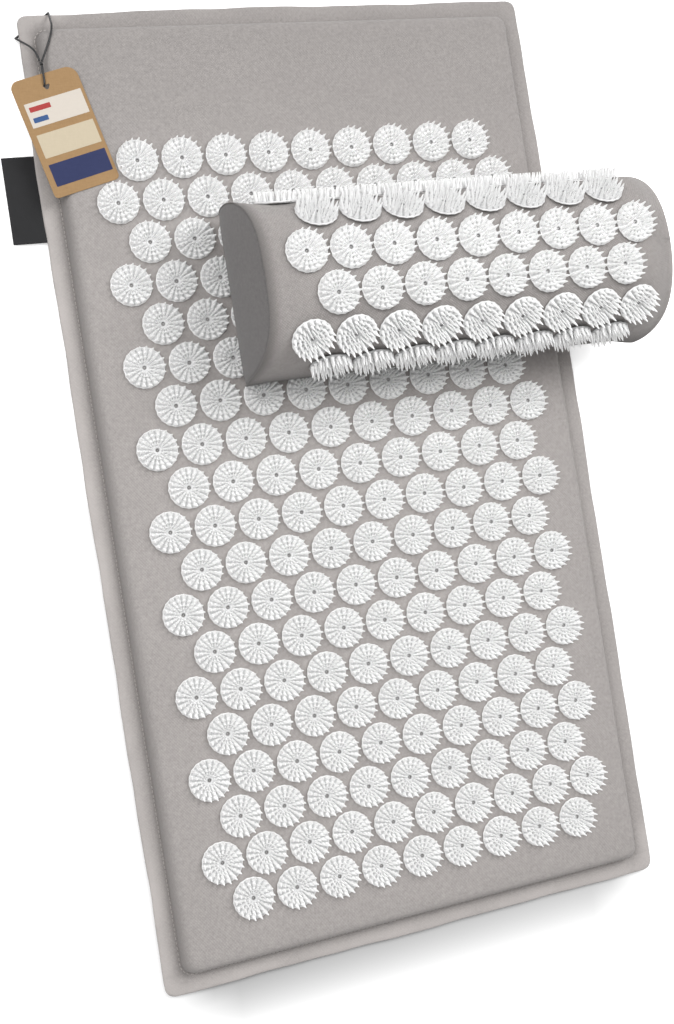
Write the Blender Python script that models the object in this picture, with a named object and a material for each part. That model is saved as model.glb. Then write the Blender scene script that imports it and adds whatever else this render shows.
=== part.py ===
"""Acupressure mat with its pillow and hang tag, in metres, +Z up, head end towards +Y.

A foam slab in a two-panel cover with a flat flange carries nineteen staggered rows of spiked
plastic discs. A D-shaped pillow with six rows of the same discs lies across its head end. The
discs of a row are one body: narrow webs, slices of what backs them, run from disc to disc.
The origin is the centre of the mat's underside.
"""

import math

import bmesh
import bpy
import numpy as np
from mathutils import Matrix, Vector

# Colours of the pieces
fabric_colour = (0.41, 0.38, 0.36)
disc_colour = (0.86, 0.87, 0.87)
foam_colour = (0.80, 0.76, 0.62)
cord_colour = (0.012, 0.012, 0.014)
zip_tape_colour = (0.36, 0.35, 0.34)
zip_teeth_colour = (0.30, 0.29, 0.28)
zip_metal_colour = (0.55, 0.55, 0.56)
label_colour = (0.015, 0.015, 0.017)
pillow_end_colour = (0.17, 0.16, 0.16)
card_colour = (0.52, 0.33, 0.16)

# How rough each kind of surface is
fabric_roughness = 0.9
foam_roughness = 0.95
card_roughness = 0.8
plastic_roughness = 0.28
teeth_roughness = 0.5
metal_roughness = 0.35

# Edges sharper than this stay crisp where faces shade as one surface
crease_degrees = 50.0

# Clearances and fabric
gap = 0.0003
overrun = 0.004
merge_distance = 0.000003
fabric_thickness = 0.001

# Spiked discs
disc_diameter = 0.032
disc_sides = 10
disc_plate_thickness = 0.0015
spike_height = 0.0072
spike_root_radius = 0.0011
spike_sides = 3
spikes_per_disc = 2
spike_circle_share = 0.62
spike_sink_share = 0.3
spike_turn_share = 0.37

# Rows of discs on the mat
disc_gap = 0.003
row_pitch_share = 0.9
mat_rows = 19
discs_in_even_row = 9
discs_in_odd_row = 10
even_row_shift = 0.002

# Mat
head_margin = 0.0910
foot_margin = 0.0290
side_margin = 0.0235
core_thickness = 0.0174
flange_width = 0.013
flange_lift = 0.0021
seam_gap = 0.0009
pad_corner_radius = 0.012
pad_edge_radius = 0.006
flange_corner_radius = 0.010
corner_segments = 4
edge_segments = 3

# Side label sewn into the left seam
label_length = 0.066
label_reach = 0.0225
label_root = 0.008
label_thickness = 0.0004
label_from_head = 0.107

# Zips
zip_slot_height = 0.005
zip_tape_height = 0.008
zip_tape_thickness = 0.0008
zip_teeth_height = 0.0034
zip_teeth_proud = 0.0006
zip_slider_length = 0.010
zip_slider_height = 0.0074
zip_slider_depth = 0.0028
zip_lug_thickness = 0.0012
zip_lug_length = 0.0032
zip_lug_reach = 0.0026
zip_lug_root = 0.0008
zip_barrel_radius = 0.0009
zip_barrel_sides = 8
zip_pull_length = 0.018
zip_pull_width = 0.0042
zip_pull_thickness = 0.0010
zip_end_stop = 0.004
mat_zip_length = 0.300
mat_zip_height = 0.0092
pillow_zip_length = 0.092
pillow_zip_height = 0.030

# Pillow
pillow_rows = 6
discs_in_long_row = 9
discs_in_short_row = 8
pillow_disc_gap = 0.002
pillow_end_margin = 0.0205
pillow_depth = 0.1288
pillow_height = 0.088
pillow_roundness = 3.25
pillow_centre_x = 0.0885
pillow_from_head = 0.2363
pillow_end_draw = 0.0025
pillow_end_length = 0.012
pillow_row_shifts = (-0.0066, -0.0028, -0.0013, 0.0010, -0.0037, -0.0005)
section_segments = 28
profile_samples = 1200

# Hang tag and its cord
tag_width = 0.052
tag_length = 0.090
tag_thickness = 0.0006
tag_corner_radius = 0.005
tag_hole_radius = 0.0026
tag_hole_sides = 12
tag_hole_inset = 0.0095
tag_turn_degrees = 14.0
tag_centre_x = -0.1892
tag_centre_y = 0.2774
cord_radius = 0.0008
cord_bevel_resolution = 2
knot_radius = 0.0020
knot_sides = 10
knot_rings = 6
knot_x = -0.1990
knot_y = 0.3290

# The loop leaves the knot, drops over the head edge, passes under the corner flange and comes
# back over the left edge. The tail runs from the knot through the tag's hole and back.
cord_loop_route = [
    (-0.1981, 0.3309, 0.0222), (-0.1950, 0.3370, 0.0214), (-0.1908, 0.3455, 0.0212),
    (-0.1877, 0.3532, 0.0214), (-0.1862, 0.3595, 0.0192), (-0.1856, 0.3655, 0.0134),
    (-0.1850, 0.3706, 0.0081), (-0.1846, 0.3740, 0.0048), (-0.1853, 0.3742, 0.0022),
    (-0.1885, 0.3722, 0.0009), (-0.1945, 0.3682, 0.0009), (-0.2010, 0.3638, 0.0009),
    (-0.2070, 0.3598, 0.0009), (-0.2108, 0.3571, 0.0013), (-0.2121, 0.3558, 0.0034),
    (-0.2110, 0.3538, 0.0060), (-0.2082, 0.3500, 0.0100), (-0.2050, 0.3452, 0.0155),
    (-0.2024, 0.3400, 0.0202), (-0.2008, 0.3352, 0.0217), (-0.2000, 0.3310, 0.0222),
]
cord_tail_route = [
    (-0.1987, 0.3269, 0.0231), (-0.1988, 0.3240, 0.0241), (-0.1989, 0.3205, 0.0244),
    (-0.1990, 0.3165, 0.0245), (-0.1991, 0.3134, 0.0240), (-0.1991, 0.3122, 0.0226),
    (-0.1991, 0.3134, 0.0212), (-0.1990, 0.3165, 0.0211), (-0.1989, 0.3205, 0.0211),
    (-0.1988, 0.3240, 0.0211), (-0.1987, 0.3269, 0.0212),
]
cord_points_per_span = 2

# Sizes that follow
column_pitch = disc_diameter + disc_gap
pillow_column_pitch = disc_diameter + pillow_disc_gap
row_pitch = column_pitch * row_pitch_share
disc_height = disc_plate_thickness + spike_height
rows_length = row_pitch * (mat_rows - 1) + disc_diameter
widest_row = column_pitch * (discs_in_odd_row - 1) + disc_diameter
pad_length = head_margin + rows_length + foot_margin
pad_width = widest_row + 2 * side_margin
core_bottom = fabric_thickness + gap
core_top = core_bottom + core_thickness
pad_top = core_top + gap + fabric_thickness
flange_top = flange_lift + fabric_thickness + seam_gap + fabric_thickness
mat_length = pad_length + 2 * flange_width
mat_width = pad_width + 2 * flange_width
disc_base = pad_top + gap
first_row_y = pad_length / 2 - head_margin - disc_diameter / 2
pillow_length = pillow_column_pitch * (discs_in_long_row - 1) + disc_diameter
pillow_length += 2 * pillow_end_margin
pillow_base = disc_base + disc_height + gap
pillow_centre_y = mat_length / 2 - pillow_from_head
wall_clearance = fabric_thickness + gap + zip_tape_thickness + gap


def clear_scene():
    for item in list(bpy.data.objects):
        bpy.data.objects.remove(item, do_unlink=True)


def make_collection(name, hidden=False):
    collection = bpy.data.collections.new(name)
    bpy.context.scene.collection.children.link(collection)
    collection.hide_render = hidden
    return collection


def make_material(name, colour, roughness, metallic=0.0):
    material = bpy.data.materials.new(name)
    material.use_nodes = True
    shader = material.node_tree.nodes["Principled BSDF"]
    shader.inputs["Base Color"].default_value = (*colour, 1.0)
    shader.inputs["Roughness"].default_value = roughness
    shader.inputs["Metallic"].default_value = metallic
    material.diffuse_color = (*colour, 1.0)
    return material


def add_part(name, mesh, colour, roughness, parent=None, metallic=0.0):
    part = bpy.data.objects.new(name, mesh)
    parts.objects.link(part)
    mesh.name = name
    mesh.materials.clear()
    mesh.materials.append(make_material(name, colour, roughness, metallic))
    part.parent = parent
    return part


def add_frame(name, location, parent=None):
    frame = bpy.data.objects.new(name, None)
    parts.objects.link(frame)
    frame.parent = parent
    frame.location = location
    frame.empty_display_size = disc_diameter
    return frame


def add_cutter(name, mesh):
    cutter = bpy.data.objects.new(name, mesh)
    cutters.objects.link(cutter)
    cutter.hide_render = True
    cutter.display_type = "WIRE"
    return cutter


def combine(part, other, operation):
    modifier = part.modifiers.new(other.name, "BOOLEAN")
    modifier.operation = operation
    modifier.solver = "EXACT"
    modifier.object = other


def mesh_from(bm, name):
    """A mesh with outward faces that shade as one surface up to the crease angle."""
    bmesh.ops.recalc_face_normals(bm, faces=bm.faces)
    mesh = bpy.data.meshes.new(name)
    bm.to_mesh(mesh)
    bm.free()
    mesh.shade_smooth()
    mesh.set_sharp_from_angle(angle=math.radians(crease_degrees))
    return mesh


def is_upright(edge):
    run = edge.verts[0].co - edge.verts[1].co
    return abs(run.z) > gap and Vector((run.x, run.y, 0)).length < gap


def block(low, high, corner_radius=0.0, top_radius=0.0):
    """A box between two corners, its upright edges and then its top edges rounded."""
    low, high = Vector(low), Vector(high)
    bm = bmesh.new()
    bmesh.ops.create_cube(bm, size=1)
    bmesh.ops.scale(bm, vec=high - low, verts=bm.verts)
    bmesh.ops.translate(bm, vec=(low + high) / 2, verts=bm.verts)
    if corner_radius:
        upright = [edge for edge in bm.edges if is_upright(edge)]
        bmesh.ops.bevel(bm, geom=upright, offset=corner_radius, segments=corner_segments,
                        profile=0.5, affect="EDGES")
    if top_radius:
        rim = [edge for edge in bm.edges if min(v.co.z for v in edge.verts) > high.z - gap]
        bmesh.ops.bevel(bm, geom=rim, offset=top_radius, segments=edge_segments,
                        profile=0.5, affect="EDGES")
    return mesh_from(bm, "block")


def centred_block(length_x, length_y, bottom, top, corner_radius=0.0, top_radius=0.0):
    low = (-length_x / 2, -length_y / 2, bottom)
    high = (length_x / 2, length_y / 2, top)
    return block(low, high, corner_radius, top_radius)


def tube(name, points, radius):
    """A round cord along a line of points, its caps welded on."""
    curve = bpy.data.curves.new(name, "CURVE")
    curve.dimensions = "3D"
    curve.bevel_depth = radius
    curve.bevel_resolution = cord_bevel_resolution
    curve.use_fill_caps = True
    spline = curve.splines.new("POLY")
    spline.points.add(len(points) - 1)
    for slot, point in zip(spline.points, points):
        slot.co = (*point, 1)
    holder = bpy.data.objects.new(name, curve)
    cutters.objects.link(holder)
    bpy.context.view_layer.update()
    depsgraph = bpy.context.evaluated_depsgraph_get()
    mesh = bpy.data.meshes.new_from_object(holder.evaluated_get(depsgraph))
    bpy.data.objects.remove(holder, do_unlink=True)
    bm = bmesh.new()
    bm.from_mesh(mesh)
    bmesh.ops.remove_doubles(bm, verts=bm.verts, dist=merge_distance)
    bpy.data.meshes.remove(mesh)
    return mesh_from(bm, name)


def plate(outline, thickness):
    """A flat outline raised to a thickness. Its corners on one line need a single face."""
    bm = bmesh.new()
    face = bm.faces.new([bm.verts.new(point) for point in outline])
    raised = bmesh.ops.extrude_face_region(bm, geom=[face])["geom"]
    corners = [item for item in raised if isinstance(item, bmesh.types.BMVert)]
    bmesh.ops.translate(bm, verts=corners, vec=(0, 0, thickness))
    return mesh_from(bm, "plate")


def disc_row_outline(count, pitch):
    """The plates of one row seen from above, joined side by side by webs one facet wide."""
    corner_radius = disc_diameter / 2 / math.cos(math.pi / disc_sides)
    half = disc_sides // 2
    upper, lower = [], []
    for index in range(count):
        centre = (index - (count - 1) / 2) * pitch
        for step in range(half):
            rise = (min(step, half - 1 - step) + 0.5) * math.pi / half
            side = 1 if step > half // 2 else -1
            x = centre + side * corner_radius * math.cos(rise)
            y = corner_radius * math.sin(rise)
            upper.append((x, y, 0))
            lower.append((x, -y, 0))
    return upper + lower[::-1]


def spike_points(count, pitch):
    for index in range(count):
        centre = (index - (count - 1) / 2) * pitch
        for step in range(spikes_per_disc):
            angle = (step + spike_turn_share * (index % 2 + 1)) * 2 * math.pi / spikes_per_disc
            radius = spike_circle_share * disc_diameter / 2
            yield centre + radius * math.cos(angle), radius * math.sin(angle)


def spikes_mesh(count, pitch):
    """The upright spikes of one row, each with its root sunk into the plate."""
    sink = disc_plate_thickness * spike_sink_share
    bm = bmesh.new()
    for x, y in spike_points(count, pitch):
        place = Matrix.Translation((x, y, disc_plate_thickness - sink + (spike_height + sink) / 2))
        bmesh.ops.create_cone(bm, cap_ends=True, segments=spike_sides, radius1=spike_root_radius,
                              radius2=0, depth=spike_height + sink, matrix=place)
    return mesh_from(bm, "spikes")


def add_disc_row(name, count, pitch, place, parent):
    plates = plate(disc_row_outline(count, pitch), disc_plate_thickness)
    row = add_part(name, plates, disc_colour, plastic_roughness, parent)
    row.matrix_local = place
    spikes = add_cutter(name + "_spikes", spikes_mesh(count, pitch))
    spikes.parent = row
    combine(row, spikes, "UNION")
    return row


def add_mat_cover():
    """Two panels: a base tray with a raised flange, and a top panel with walls and flange."""
    flange_bottom = flange_top - fabric_thickness
    flange = centred_block(mat_width, mat_length, flange_bottom, flange_top,
                           flange_corner_radius)
    top = add_part("mat_top_cover", flange, fabric_colour, fabric_roughness, mat)
    shell = add_cutter("pad_outside", centred_block(
        pad_width, pad_length, flange_bottom, pad_top, pad_corner_radius, pad_edge_radius))
    combine(top, shell, "UNION")
    inner_width = pad_width - 2 * fabric_thickness
    inner_length = pad_length - 2 * fabric_thickness
    hollow = add_cutter("pad_inside", centred_block(
        inner_width, inner_length, flange_bottom - overrun, pad_top - fabric_thickness,
        pad_corner_radius - fabric_thickness, pad_edge_radius - fabric_thickness))
    combine(top, hollow, "DIFFERENCE")
    slot_bottom = mat_zip_height - zip_slot_height / 2
    slot = add_cutter("mat_zip_slot", block(
        (pad_width / 2 - overrun, -mat_zip_length / 2, slot_bottom),
        (pad_width / 2 + overrun, mat_zip_length / 2, slot_bottom + zip_slot_height)))
    combine(top, slot, "DIFFERENCE")

    ring = centred_block(mat_width, mat_length, flange_lift, flange_lift + fabric_thickness,
                         flange_corner_radius)
    base = add_part("mat_base_cover", ring, fabric_colour, fabric_roughness, mat)
    tray = add_cutter("tray_outside", centred_block(
        pad_width, pad_length, 0, flange_lift + fabric_thickness, pad_corner_radius))
    combine(base, tray, "UNION")
    tray_hollow = add_cutter("tray_inside", centred_block(
        inner_width, inner_length, fabric_thickness, flange_lift + overrun,
        pad_corner_radius - fabric_thickness))
    combine(base, tray_hollow, "DIFFERENCE")


def add_mat_core():
    core = centred_block(pad_width - 2 * wall_clearance, pad_length - 2 * wall_clearance,
                         core_bottom, core_top, pad_corner_radius - fabric_thickness,
                         pad_edge_radius - fabric_thickness)
    add_part("mat_core", core, foam_colour, foam_roughness, mat)


def add_side_label():
    seam_middle = flange_lift + fabric_thickness + seam_gap / 2
    edge = -mat_width / 2
    head = mat_length / 2 - label_from_head
    low = (edge - label_reach, head - label_length, seam_middle - label_thickness / 2)
    high = (edge + label_root, head, seam_middle + label_thickness / 2)
    add_part("side_label", block(low, high), label_colour, fabric_roughness, mat)


def add_zip(prefix, length, frame):
    """A zip in its frame: X along it, Y towards the inside of the cover, Z across it.

    Y is zero on the cover's outer face. The slider is parked at the +X end of the teeth, and
    its pull lies back along them.
    """
    tape_face = fabric_thickness + gap
    tape = block((-length / 2 - overrun, tape_face, -zip_tape_height / 2),
                 (length / 2 + overrun, tape_face + zip_tape_thickness, zip_tape_height / 2))
    add_part(prefix + "_zip_tape", tape, zip_tape_colour, fabric_roughness, frame)
    teeth_end = length / 2 - gap
    teeth = block((-teeth_end, -zip_teeth_proud, -zip_teeth_height / 2),
                  (teeth_end, fabric_thickness, zip_teeth_height / 2))
    add_part(prefix + "_zip_teeth", teeth, zip_teeth_colour, teeth_roughness, frame)

    parked = length / 2 - zip_end_stop - zip_slider_length / 2
    back = -gap
    front = back - zip_slider_depth
    body = block((-zip_slider_length / 2, front, -zip_slider_height / 2),
                 (zip_slider_length / 2, back, zip_slider_height / 2))
    slider = add_part(prefix + "_zip_slider", body, zip_metal_colour, metal_roughness, frame,
                      metallic=1)
    slider.location = (parked, 0, 0)
    channel = add_cutter(prefix + "_slider_channel", block(
        (-zip_slider_length, -zip_teeth_proud - gap, -zip_teeth_height / 2 - gap),
        (zip_slider_length, overrun, zip_teeth_height / 2 + gap)))
    channel.parent = slider
    combine(slider, channel, "DIFFERENCE")
    hinge_y = front - zip_lug_reach + zip_lug_thickness / 2 + zip_barrel_radius / 2
    lug_inner = zip_pull_width / 2 + gap
    for side, label in ((-1, "low"), (1, "high")):
        near = side * lug_inner
        far = side * (lug_inner + zip_lug_thickness)
        lug = add_cutter(prefix + "_slider_lug_" + label, block(
            (-zip_lug_length / 2, front - zip_lug_reach, min(near, far)),
            (zip_lug_length / 2, front + zip_lug_root, max(near, far))))
        lug.parent = slider
        combine(slider, lug, "UNION")

    grip = block((-zip_pull_length, -zip_pull_thickness / 2, -zip_pull_width / 2),
                 (0, zip_pull_thickness / 2, zip_pull_width / 2))
    pull = add_part(prefix + "_zip_pull", grip, zip_metal_colour, metal_roughness, slider,
                    metallic=1)
    pull.location = (0, hinge_y, 0)
    bm = bmesh.new()
    bmesh.ops.create_cone(bm, cap_ends=True, segments=zip_barrel_sides,
                          radius1=zip_barrel_radius, radius2=zip_barrel_radius,
                          depth=zip_pull_width)
    barrel = add_cutter(prefix + "_pull_barrel", mesh_from(bm, "barrel"))
    barrel.parent = pull
    combine(pull, barrel, "UNION")


def d_section(inset=0.0, draw=0.0, count=section_segments):
    """Half of a rounded rectangle standing on its base: the pillow's end view, (y, z) pairs."""
    half_depth = pillow_depth / 2 - inset - draw
    height = pillow_height - inset - draw
    points = []
    for step in range(count + 1):
        angle = math.pi * step / count
        across = math.copysign(abs(math.cos(angle)) ** (2 / pillow_roundness), math.cos(angle))
        up = abs(math.sin(angle)) ** (2 / pillow_roundness)
        points.append((half_depth * across, height * up))
    return points


def d_solid(stations, inset, bottom):
    """A solid lofted through D sections at stations (x, draw), cut flat at its bottom."""
    bm = bmesh.new()
    rings = []
    for x, draw in stations:
        ring = []
        for y, z in d_section(inset, draw):
            ring.append(bm.verts.new((x, y, max(z, bottom))))
        rings.append(ring)
    bm.faces.new(rings[0])
    bm.faces.new(rings[-1])
    for near, far in zip(rings, rings[1:]):
        for index in range(len(near)):
            follower = (index + 1) % len(near)
            bm.faces.new((near[index], near[follower], far[follower], far[index]))
    bmesh.ops.remove_doubles(bm, verts=bm.verts, dist=merge_distance)
    return mesh_from(bm, "d_solid")


def pillow_stations(end_inset, reach=0.0):
    """Where the loft's sections stand along X, drawn in a little beside each end."""
    end = pillow_length / 2 - end_inset
    shoulder = pillow_length / 2 - pillow_end_length
    return [(-end - reach, pillow_end_draw), (-shoulder, 0), (shoulder, 0),
            (end + reach, pillow_end_draw)]


def profile_at(along_from_middle):
    """The point and outward normal on the pillow's outside, a length along it from its top."""
    curve = np.array(d_section(count=profile_samples))
    steps = np.hypot(*np.diff(curve, axis=0).T)
    lengths = np.concatenate(([0.0], np.cumsum(steps)))
    target = lengths[-1] / 2 + along_from_middle
    point = [np.interp(target, lengths, axis) for axis in curve.T]
    index = int(np.searchsorted(lengths, target))
    along = curve[index] - curve[index - 1]
    along /= np.linalg.norm(along)
    return point, (along[1], -along[0])


def add_pillow():
    shell_ends = fabric_thickness + gap
    wall_bottom = fabric_thickness + gap
    arch = add_part("pillow_top_cover", d_solid(pillow_stations(shell_ends), 0, wall_bottom),
                    fabric_colour, fabric_roughness, pillow)
    hollow = add_cutter("pillow_inside", d_solid(pillow_stations(shell_ends, overrun),
                                                 fabric_thickness, 0))
    hollow.parent = pillow
    combine(arch, hollow, "DIFFERENCE")

    lining = fabric_thickness + gap
    fill_end = fabric_thickness + gap + zip_tape_thickness + gap
    add_part("pillow_filling", d_solid(pillow_stations(fill_end), lining, wall_bottom),
             foam_colour, foam_roughness, pillow)
    base = centred_block(pillow_length, pillow_depth, 0, fabric_thickness,
                         2 * pillow_end_draw)
    add_part("pillow_base_cover", base, fabric_colour, fabric_roughness, pillow)

    for side, label in ((-1, "left"), (1, "right")):
        inner = side * (pillow_length / 2 - fabric_thickness)
        outer = side * pillow_length / 2
        ends = [(min(inner, outer), pillow_end_draw), (max(inner, outer), pillow_end_draw)]
        panel = add_part("pillow_end_" + label, d_solid(ends, 0, wall_bottom),
                         pillow_end_colour, fabric_roughness, pillow)
        if label == "right":
            slot_bottom = pillow_zip_height - zip_slot_height / 2
            slot = add_cutter("pillow_zip_slot", block(
                (outer - overrun, -pillow_zip_length / 2, slot_bottom),
                (outer + overrun, pillow_zip_length / 2, slot_bottom + zip_slot_height)))
            slot.parent = pillow
            combine(panel, slot, "DIFFERENCE")


def add_pillow_discs():
    for index in range(pillow_rows):
        long_row = index % 2 == 0
        count = discs_in_long_row if long_row else discs_in_short_row
        (y, z), normal = profile_at((index - (pillow_rows - 1) / 2) * row_pitch)
        tilt = math.atan2(-normal[0], normal[1])
        place = Matrix.Translation((pillow_row_shifts[index], y + normal[0] * gap,
                                    z + normal[1] * gap))
        place = place @ Matrix.Rotation(tilt, 4, "X")
        add_disc_row("pillow_disc_row_%d" % (index + 1), count, pillow_column_pitch, place,
                     pillow)


def add_mat_discs():
    for index in range(mat_rows):
        even = index % 2 == 0
        count = discs_in_even_row if even else discs_in_odd_row
        shift = even_row_shift if even else 0
        place = Matrix.Translation((shift, first_row_y - index * row_pitch, disc_base))
        add_disc_row("mat_disc_row_%02d" % (index + 1), count, column_pitch, place, mat)


def smooth_line(points, per_span):
    """Points on a Catmull-Rom curve through the route."""
    knots = [Vector(point) for point in points]
    knots = [2 * knots[0] - knots[1]] + knots + [2 * knots[-1] - knots[-2]]
    line = []
    for index in range(1, len(knots) - 2):
        before, start, end, after = knots[index - 1:index + 3]
        for step in range(per_span):
            t = step / per_span
            line.append(0.5 * (2 * start + (end - before) * t
                               + (2 * before - 5 * start + 4 * end - after) * t ** 2
                               + (3 * start - before - 3 * end + after) * t ** 3))
    line.append(knots[-2])
    return line


def line_length(points):
    return sum((b - a).length for a, b in zip(points, points[1:]))


def add_tag():
    """The card leans on the cord's lower strand at its top and on the cover at its foot."""
    knot_height = pad_top + gap + knot_radius
    bm = bmesh.new()
    bmesh.ops.create_uvsphere(bm, u_segments=knot_sides, v_segments=knot_rings,
                              radius=knot_radius)
    knot = add_part("tag_cord_knot", mesh_from(bm, "knot"), cord_colour, card_roughness, mat)
    knot.location = (knot_x, knot_y, knot_height)
    loop_line = smooth_line(cord_loop_route, cord_points_per_span)
    loop = tube("tag_cord_loop", loop_line, cord_radius)
    add_part("tag_cord_loop", loop, cord_colour, card_roughness, mat)

    swing = add_frame("tag_swing_axis", (knot_x, knot_y, knot_height), mat)
    tail_line = smooth_line(cord_tail_route, cord_points_per_span)
    tail = tube("tag_cord_tail", tail_line, cord_radius)
    tail.transform(Matrix.Translation((-knot_x, -knot_y, -knot_height)))
    add_part("tag_cord_tail", tail, cord_colour, card_roughness, swing)
    print("cord loop length %.4f, tail length %.4f"
          % (line_length(loop_line), line_length(tail_line)))

    card = add_part("tag_card", centred_block(
        tag_width, tag_length, 0, tag_thickness, tag_corner_radius), card_colour, card_roughness,
        swing)
    strand_room = 2 * (cord_radius + gap)
    lean = math.asin(strand_room / tag_length)
    place = Matrix.Translation((tag_centre_x - knot_x, tag_centre_y - knot_y,
                                pad_top + gap - knot_height + strand_room / 2))
    place = place @ Matrix.Rotation(math.radians(tag_turn_degrees), 4, "Z")
    card.matrix_local = place @ Matrix.Rotation(lean, 4, "X")
    bm = bmesh.new()
    bmesh.ops.create_cone(bm, cap_ends=True, segments=tag_hole_sides,
                          radius1=tag_hole_radius, radius2=tag_hole_radius, depth=overrun)
    punch = add_cutter("tag_hole", mesh_from(bm, "punch"))
    punch.parent = card
    punch.location = (0, tag_length / 2 - tag_hole_inset, tag_thickness / 2)
    combine(card, punch, "DIFFERENCE")


clear_scene()
parts = make_collection("acupressure_mat")
cutters = make_collection("cutters", hidden=True)
mat = add_frame("mat", (0, 0, 0))
pillow = add_frame("pillow", (pillow_centre_x, pillow_centre_y, pillow_base))

add_mat_core()
add_mat_cover()
add_side_label()
mat_zip = add_frame("mat_zip", (pad_width / 2, 0, mat_zip_height), mat)
mat_zip.rotation_euler = (0, 0, math.pi / 2)
add_zip("mat", mat_zip_length, mat_zip)
add_mat_discs()

add_pillow()
pillow_zip = add_frame("pillow_zip", (pillow_length / 2, 0, pillow_zip_height), pillow)
pillow_zip.rotation_euler = (0, 0, math.pi / 2)
add_zip("pillow", pillow_zip_length, pillow_zip)
add_pillow_discs()
add_tag()
bpy.context.view_layer.update()
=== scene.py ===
"""Looks of an acupressure mat with its pillow and hang tag, in metres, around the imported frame.

+Z is up, +Y points to the mat's head end, and the origin is the middle of the mat's underside.
Camera and cords come first, then the materials, then one section for each kind of piece.
"""

import math

import bpy
import numpy as np
from mathutils import Matrix, Vector


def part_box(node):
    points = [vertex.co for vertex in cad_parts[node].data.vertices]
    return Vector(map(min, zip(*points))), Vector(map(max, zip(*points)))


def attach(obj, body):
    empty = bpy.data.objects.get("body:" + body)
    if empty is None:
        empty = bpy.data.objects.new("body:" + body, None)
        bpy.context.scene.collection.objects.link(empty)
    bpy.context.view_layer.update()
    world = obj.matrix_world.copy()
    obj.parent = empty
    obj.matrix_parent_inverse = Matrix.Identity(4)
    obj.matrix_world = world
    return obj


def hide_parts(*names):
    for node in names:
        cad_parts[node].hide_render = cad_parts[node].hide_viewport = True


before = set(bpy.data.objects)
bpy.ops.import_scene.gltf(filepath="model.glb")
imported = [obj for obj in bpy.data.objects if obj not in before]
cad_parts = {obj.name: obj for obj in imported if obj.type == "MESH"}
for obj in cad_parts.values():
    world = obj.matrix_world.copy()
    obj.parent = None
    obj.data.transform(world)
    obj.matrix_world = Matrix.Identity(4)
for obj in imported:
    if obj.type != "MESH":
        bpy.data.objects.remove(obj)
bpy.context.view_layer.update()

# Objects and camera


def add_object(name, data):
    thing = bpy.data.objects.new(name, data)
    bpy.context.scene.collection.objects.link(thing)
    return thing


camera_place = (-0.36999, -0.03926, 1.02273)
camera_turn_degrees = (3.3182, -18.8037, -9.4978)
camera_lens_mm = 47.343
camera_sensor_mm = 36.0


def add_camera():
    data = bpy.data.cameras.new("camera")
    data.lens = camera_lens_mm
    data.sensor_width = camera_sensor_mm
    data.clip_start = 0.01
    camera = add_object("camera", data)
    camera.location = camera_place
    camera.rotation_euler = [math.radians(turn) for turn in camera_turn_degrees]
    bpy.context.scene.camera = camera


# Sizes shared by the pieces

disc_radius = 0.016
disc_plate_thickness = 0.0015
spike_height = 0.0072
mat_column_pitch = 0.035
pillow_column_pitch = 0.034
row_pitch = 0.0315
mat_row_count = 19
pillow_row_count = 6
pillow_row_counts = (9, 8)
surface_gap = 0.0003
cloth_thickness = 0.0008
# The most that a disc is turned about its own middle, on the mat and on the pillow
mat_disc_turn_degrees = 1.2
pillow_disc_turn_degrees = 1.5

mat_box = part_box("mat_top_cover")
mat_half_x = mat_box[1].x
mat_half_y = mat_box[1].y
pad_top = mat_box[1].z
crease_inset = 0.013
pad_half_x = mat_half_x - crease_inset

pillow_half_length = 0.1725
pillow_depth = 0.1288
pillow_height = 0.088
pillow_roundness = 3.25
pillow_origin = Vector((0.0885, 0.1362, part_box("pillow_base_cover")[0].z))
pillow_zip_height = 0.030
pillow_zip_half_length = 0.046
pillow_row_shifts = (-0.0066, -0.0028, -0.0013, 0.0010, -0.0037, -0.0005)

# The route of the tag's cord

cord_diameter = 0.0016
knot_centre = Vector((-0.1990, 0.3290, 0.0223))
cord_loop_route = [
    (-0.1981, 0.3309, 0.0222), (-0.1950, 0.3370, 0.0214), (-0.1908, 0.3455, 0.0212),
    (-0.1877, 0.3532, 0.0214), (-0.1862, 0.3595, 0.0192), (-0.1856, 0.3655, 0.0134),
    (-0.1850, 0.3706, 0.0081), (-0.1846, 0.3740, 0.0048), (-0.1853, 0.3742, 0.0022),
    (-0.1885, 0.3722, 0.0009), (-0.1945, 0.3682, 0.0009), (-0.2010, 0.3638, 0.0009),
    (-0.2070, 0.3598, 0.0009), (-0.2108, 0.3571, 0.0013), (-0.2121, 0.3558, 0.0034),
    (-0.2110, 0.3538, 0.0060), (-0.2082, 0.3500, 0.0100), (-0.2050, 0.3452, 0.0155),
    (-0.2024, 0.3400, 0.0202), (-0.2008, 0.3352, 0.0217), (-0.2000, 0.3310, 0.0222),
]
cord_tail_route = [
    (-0.1987, 0.3269, 0.0231), (-0.1988, 0.3240, 0.0241), (-0.1989, 0.3205, 0.0244),
    (-0.1990, 0.3165, 0.0245), (-0.1991, 0.3134, 0.0240), (-0.1991, 0.3122, 0.0226),
    (-0.1991, 0.3134, 0.0212), (-0.1990, 0.3165, 0.0211), (-0.1989, 0.3205, 0.0211),
    (-0.1988, 0.3240, 0.0211), (-0.1987, 0.3269, 0.0212),
]
cord_points_per_span = 3
knot_strand_radius = 0.0006
# How far each wrap of the knot is turned, and its radius
knot_wraps = ((0.45, 0.00105), (-0.55, 0.00100), (1.35, 0.00085))


def smooth_line(points, per_span):
    """Points on a Catmull-Rom curve through the route."""
    knots = [Vector(point) for point in points]
    knots = [2 * knots[0] - knots[1]] + knots + [2 * knots[-1] - knots[-2]]
    line = []
    for index in range(1, len(knots) - 2):
        before, start, end, after = knots[index - 1:index + 3]
        for step in range(per_span):
            t = step / per_span
            line.append(0.5 * (2 * start + (end - before) * t
                               + (2 * before - 5 * start + 4 * end - after) * t ** 2
                               + (3 * start - before - 3 * end + after) * t ** 3))
    line.append(knots[-2])
    return line


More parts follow.
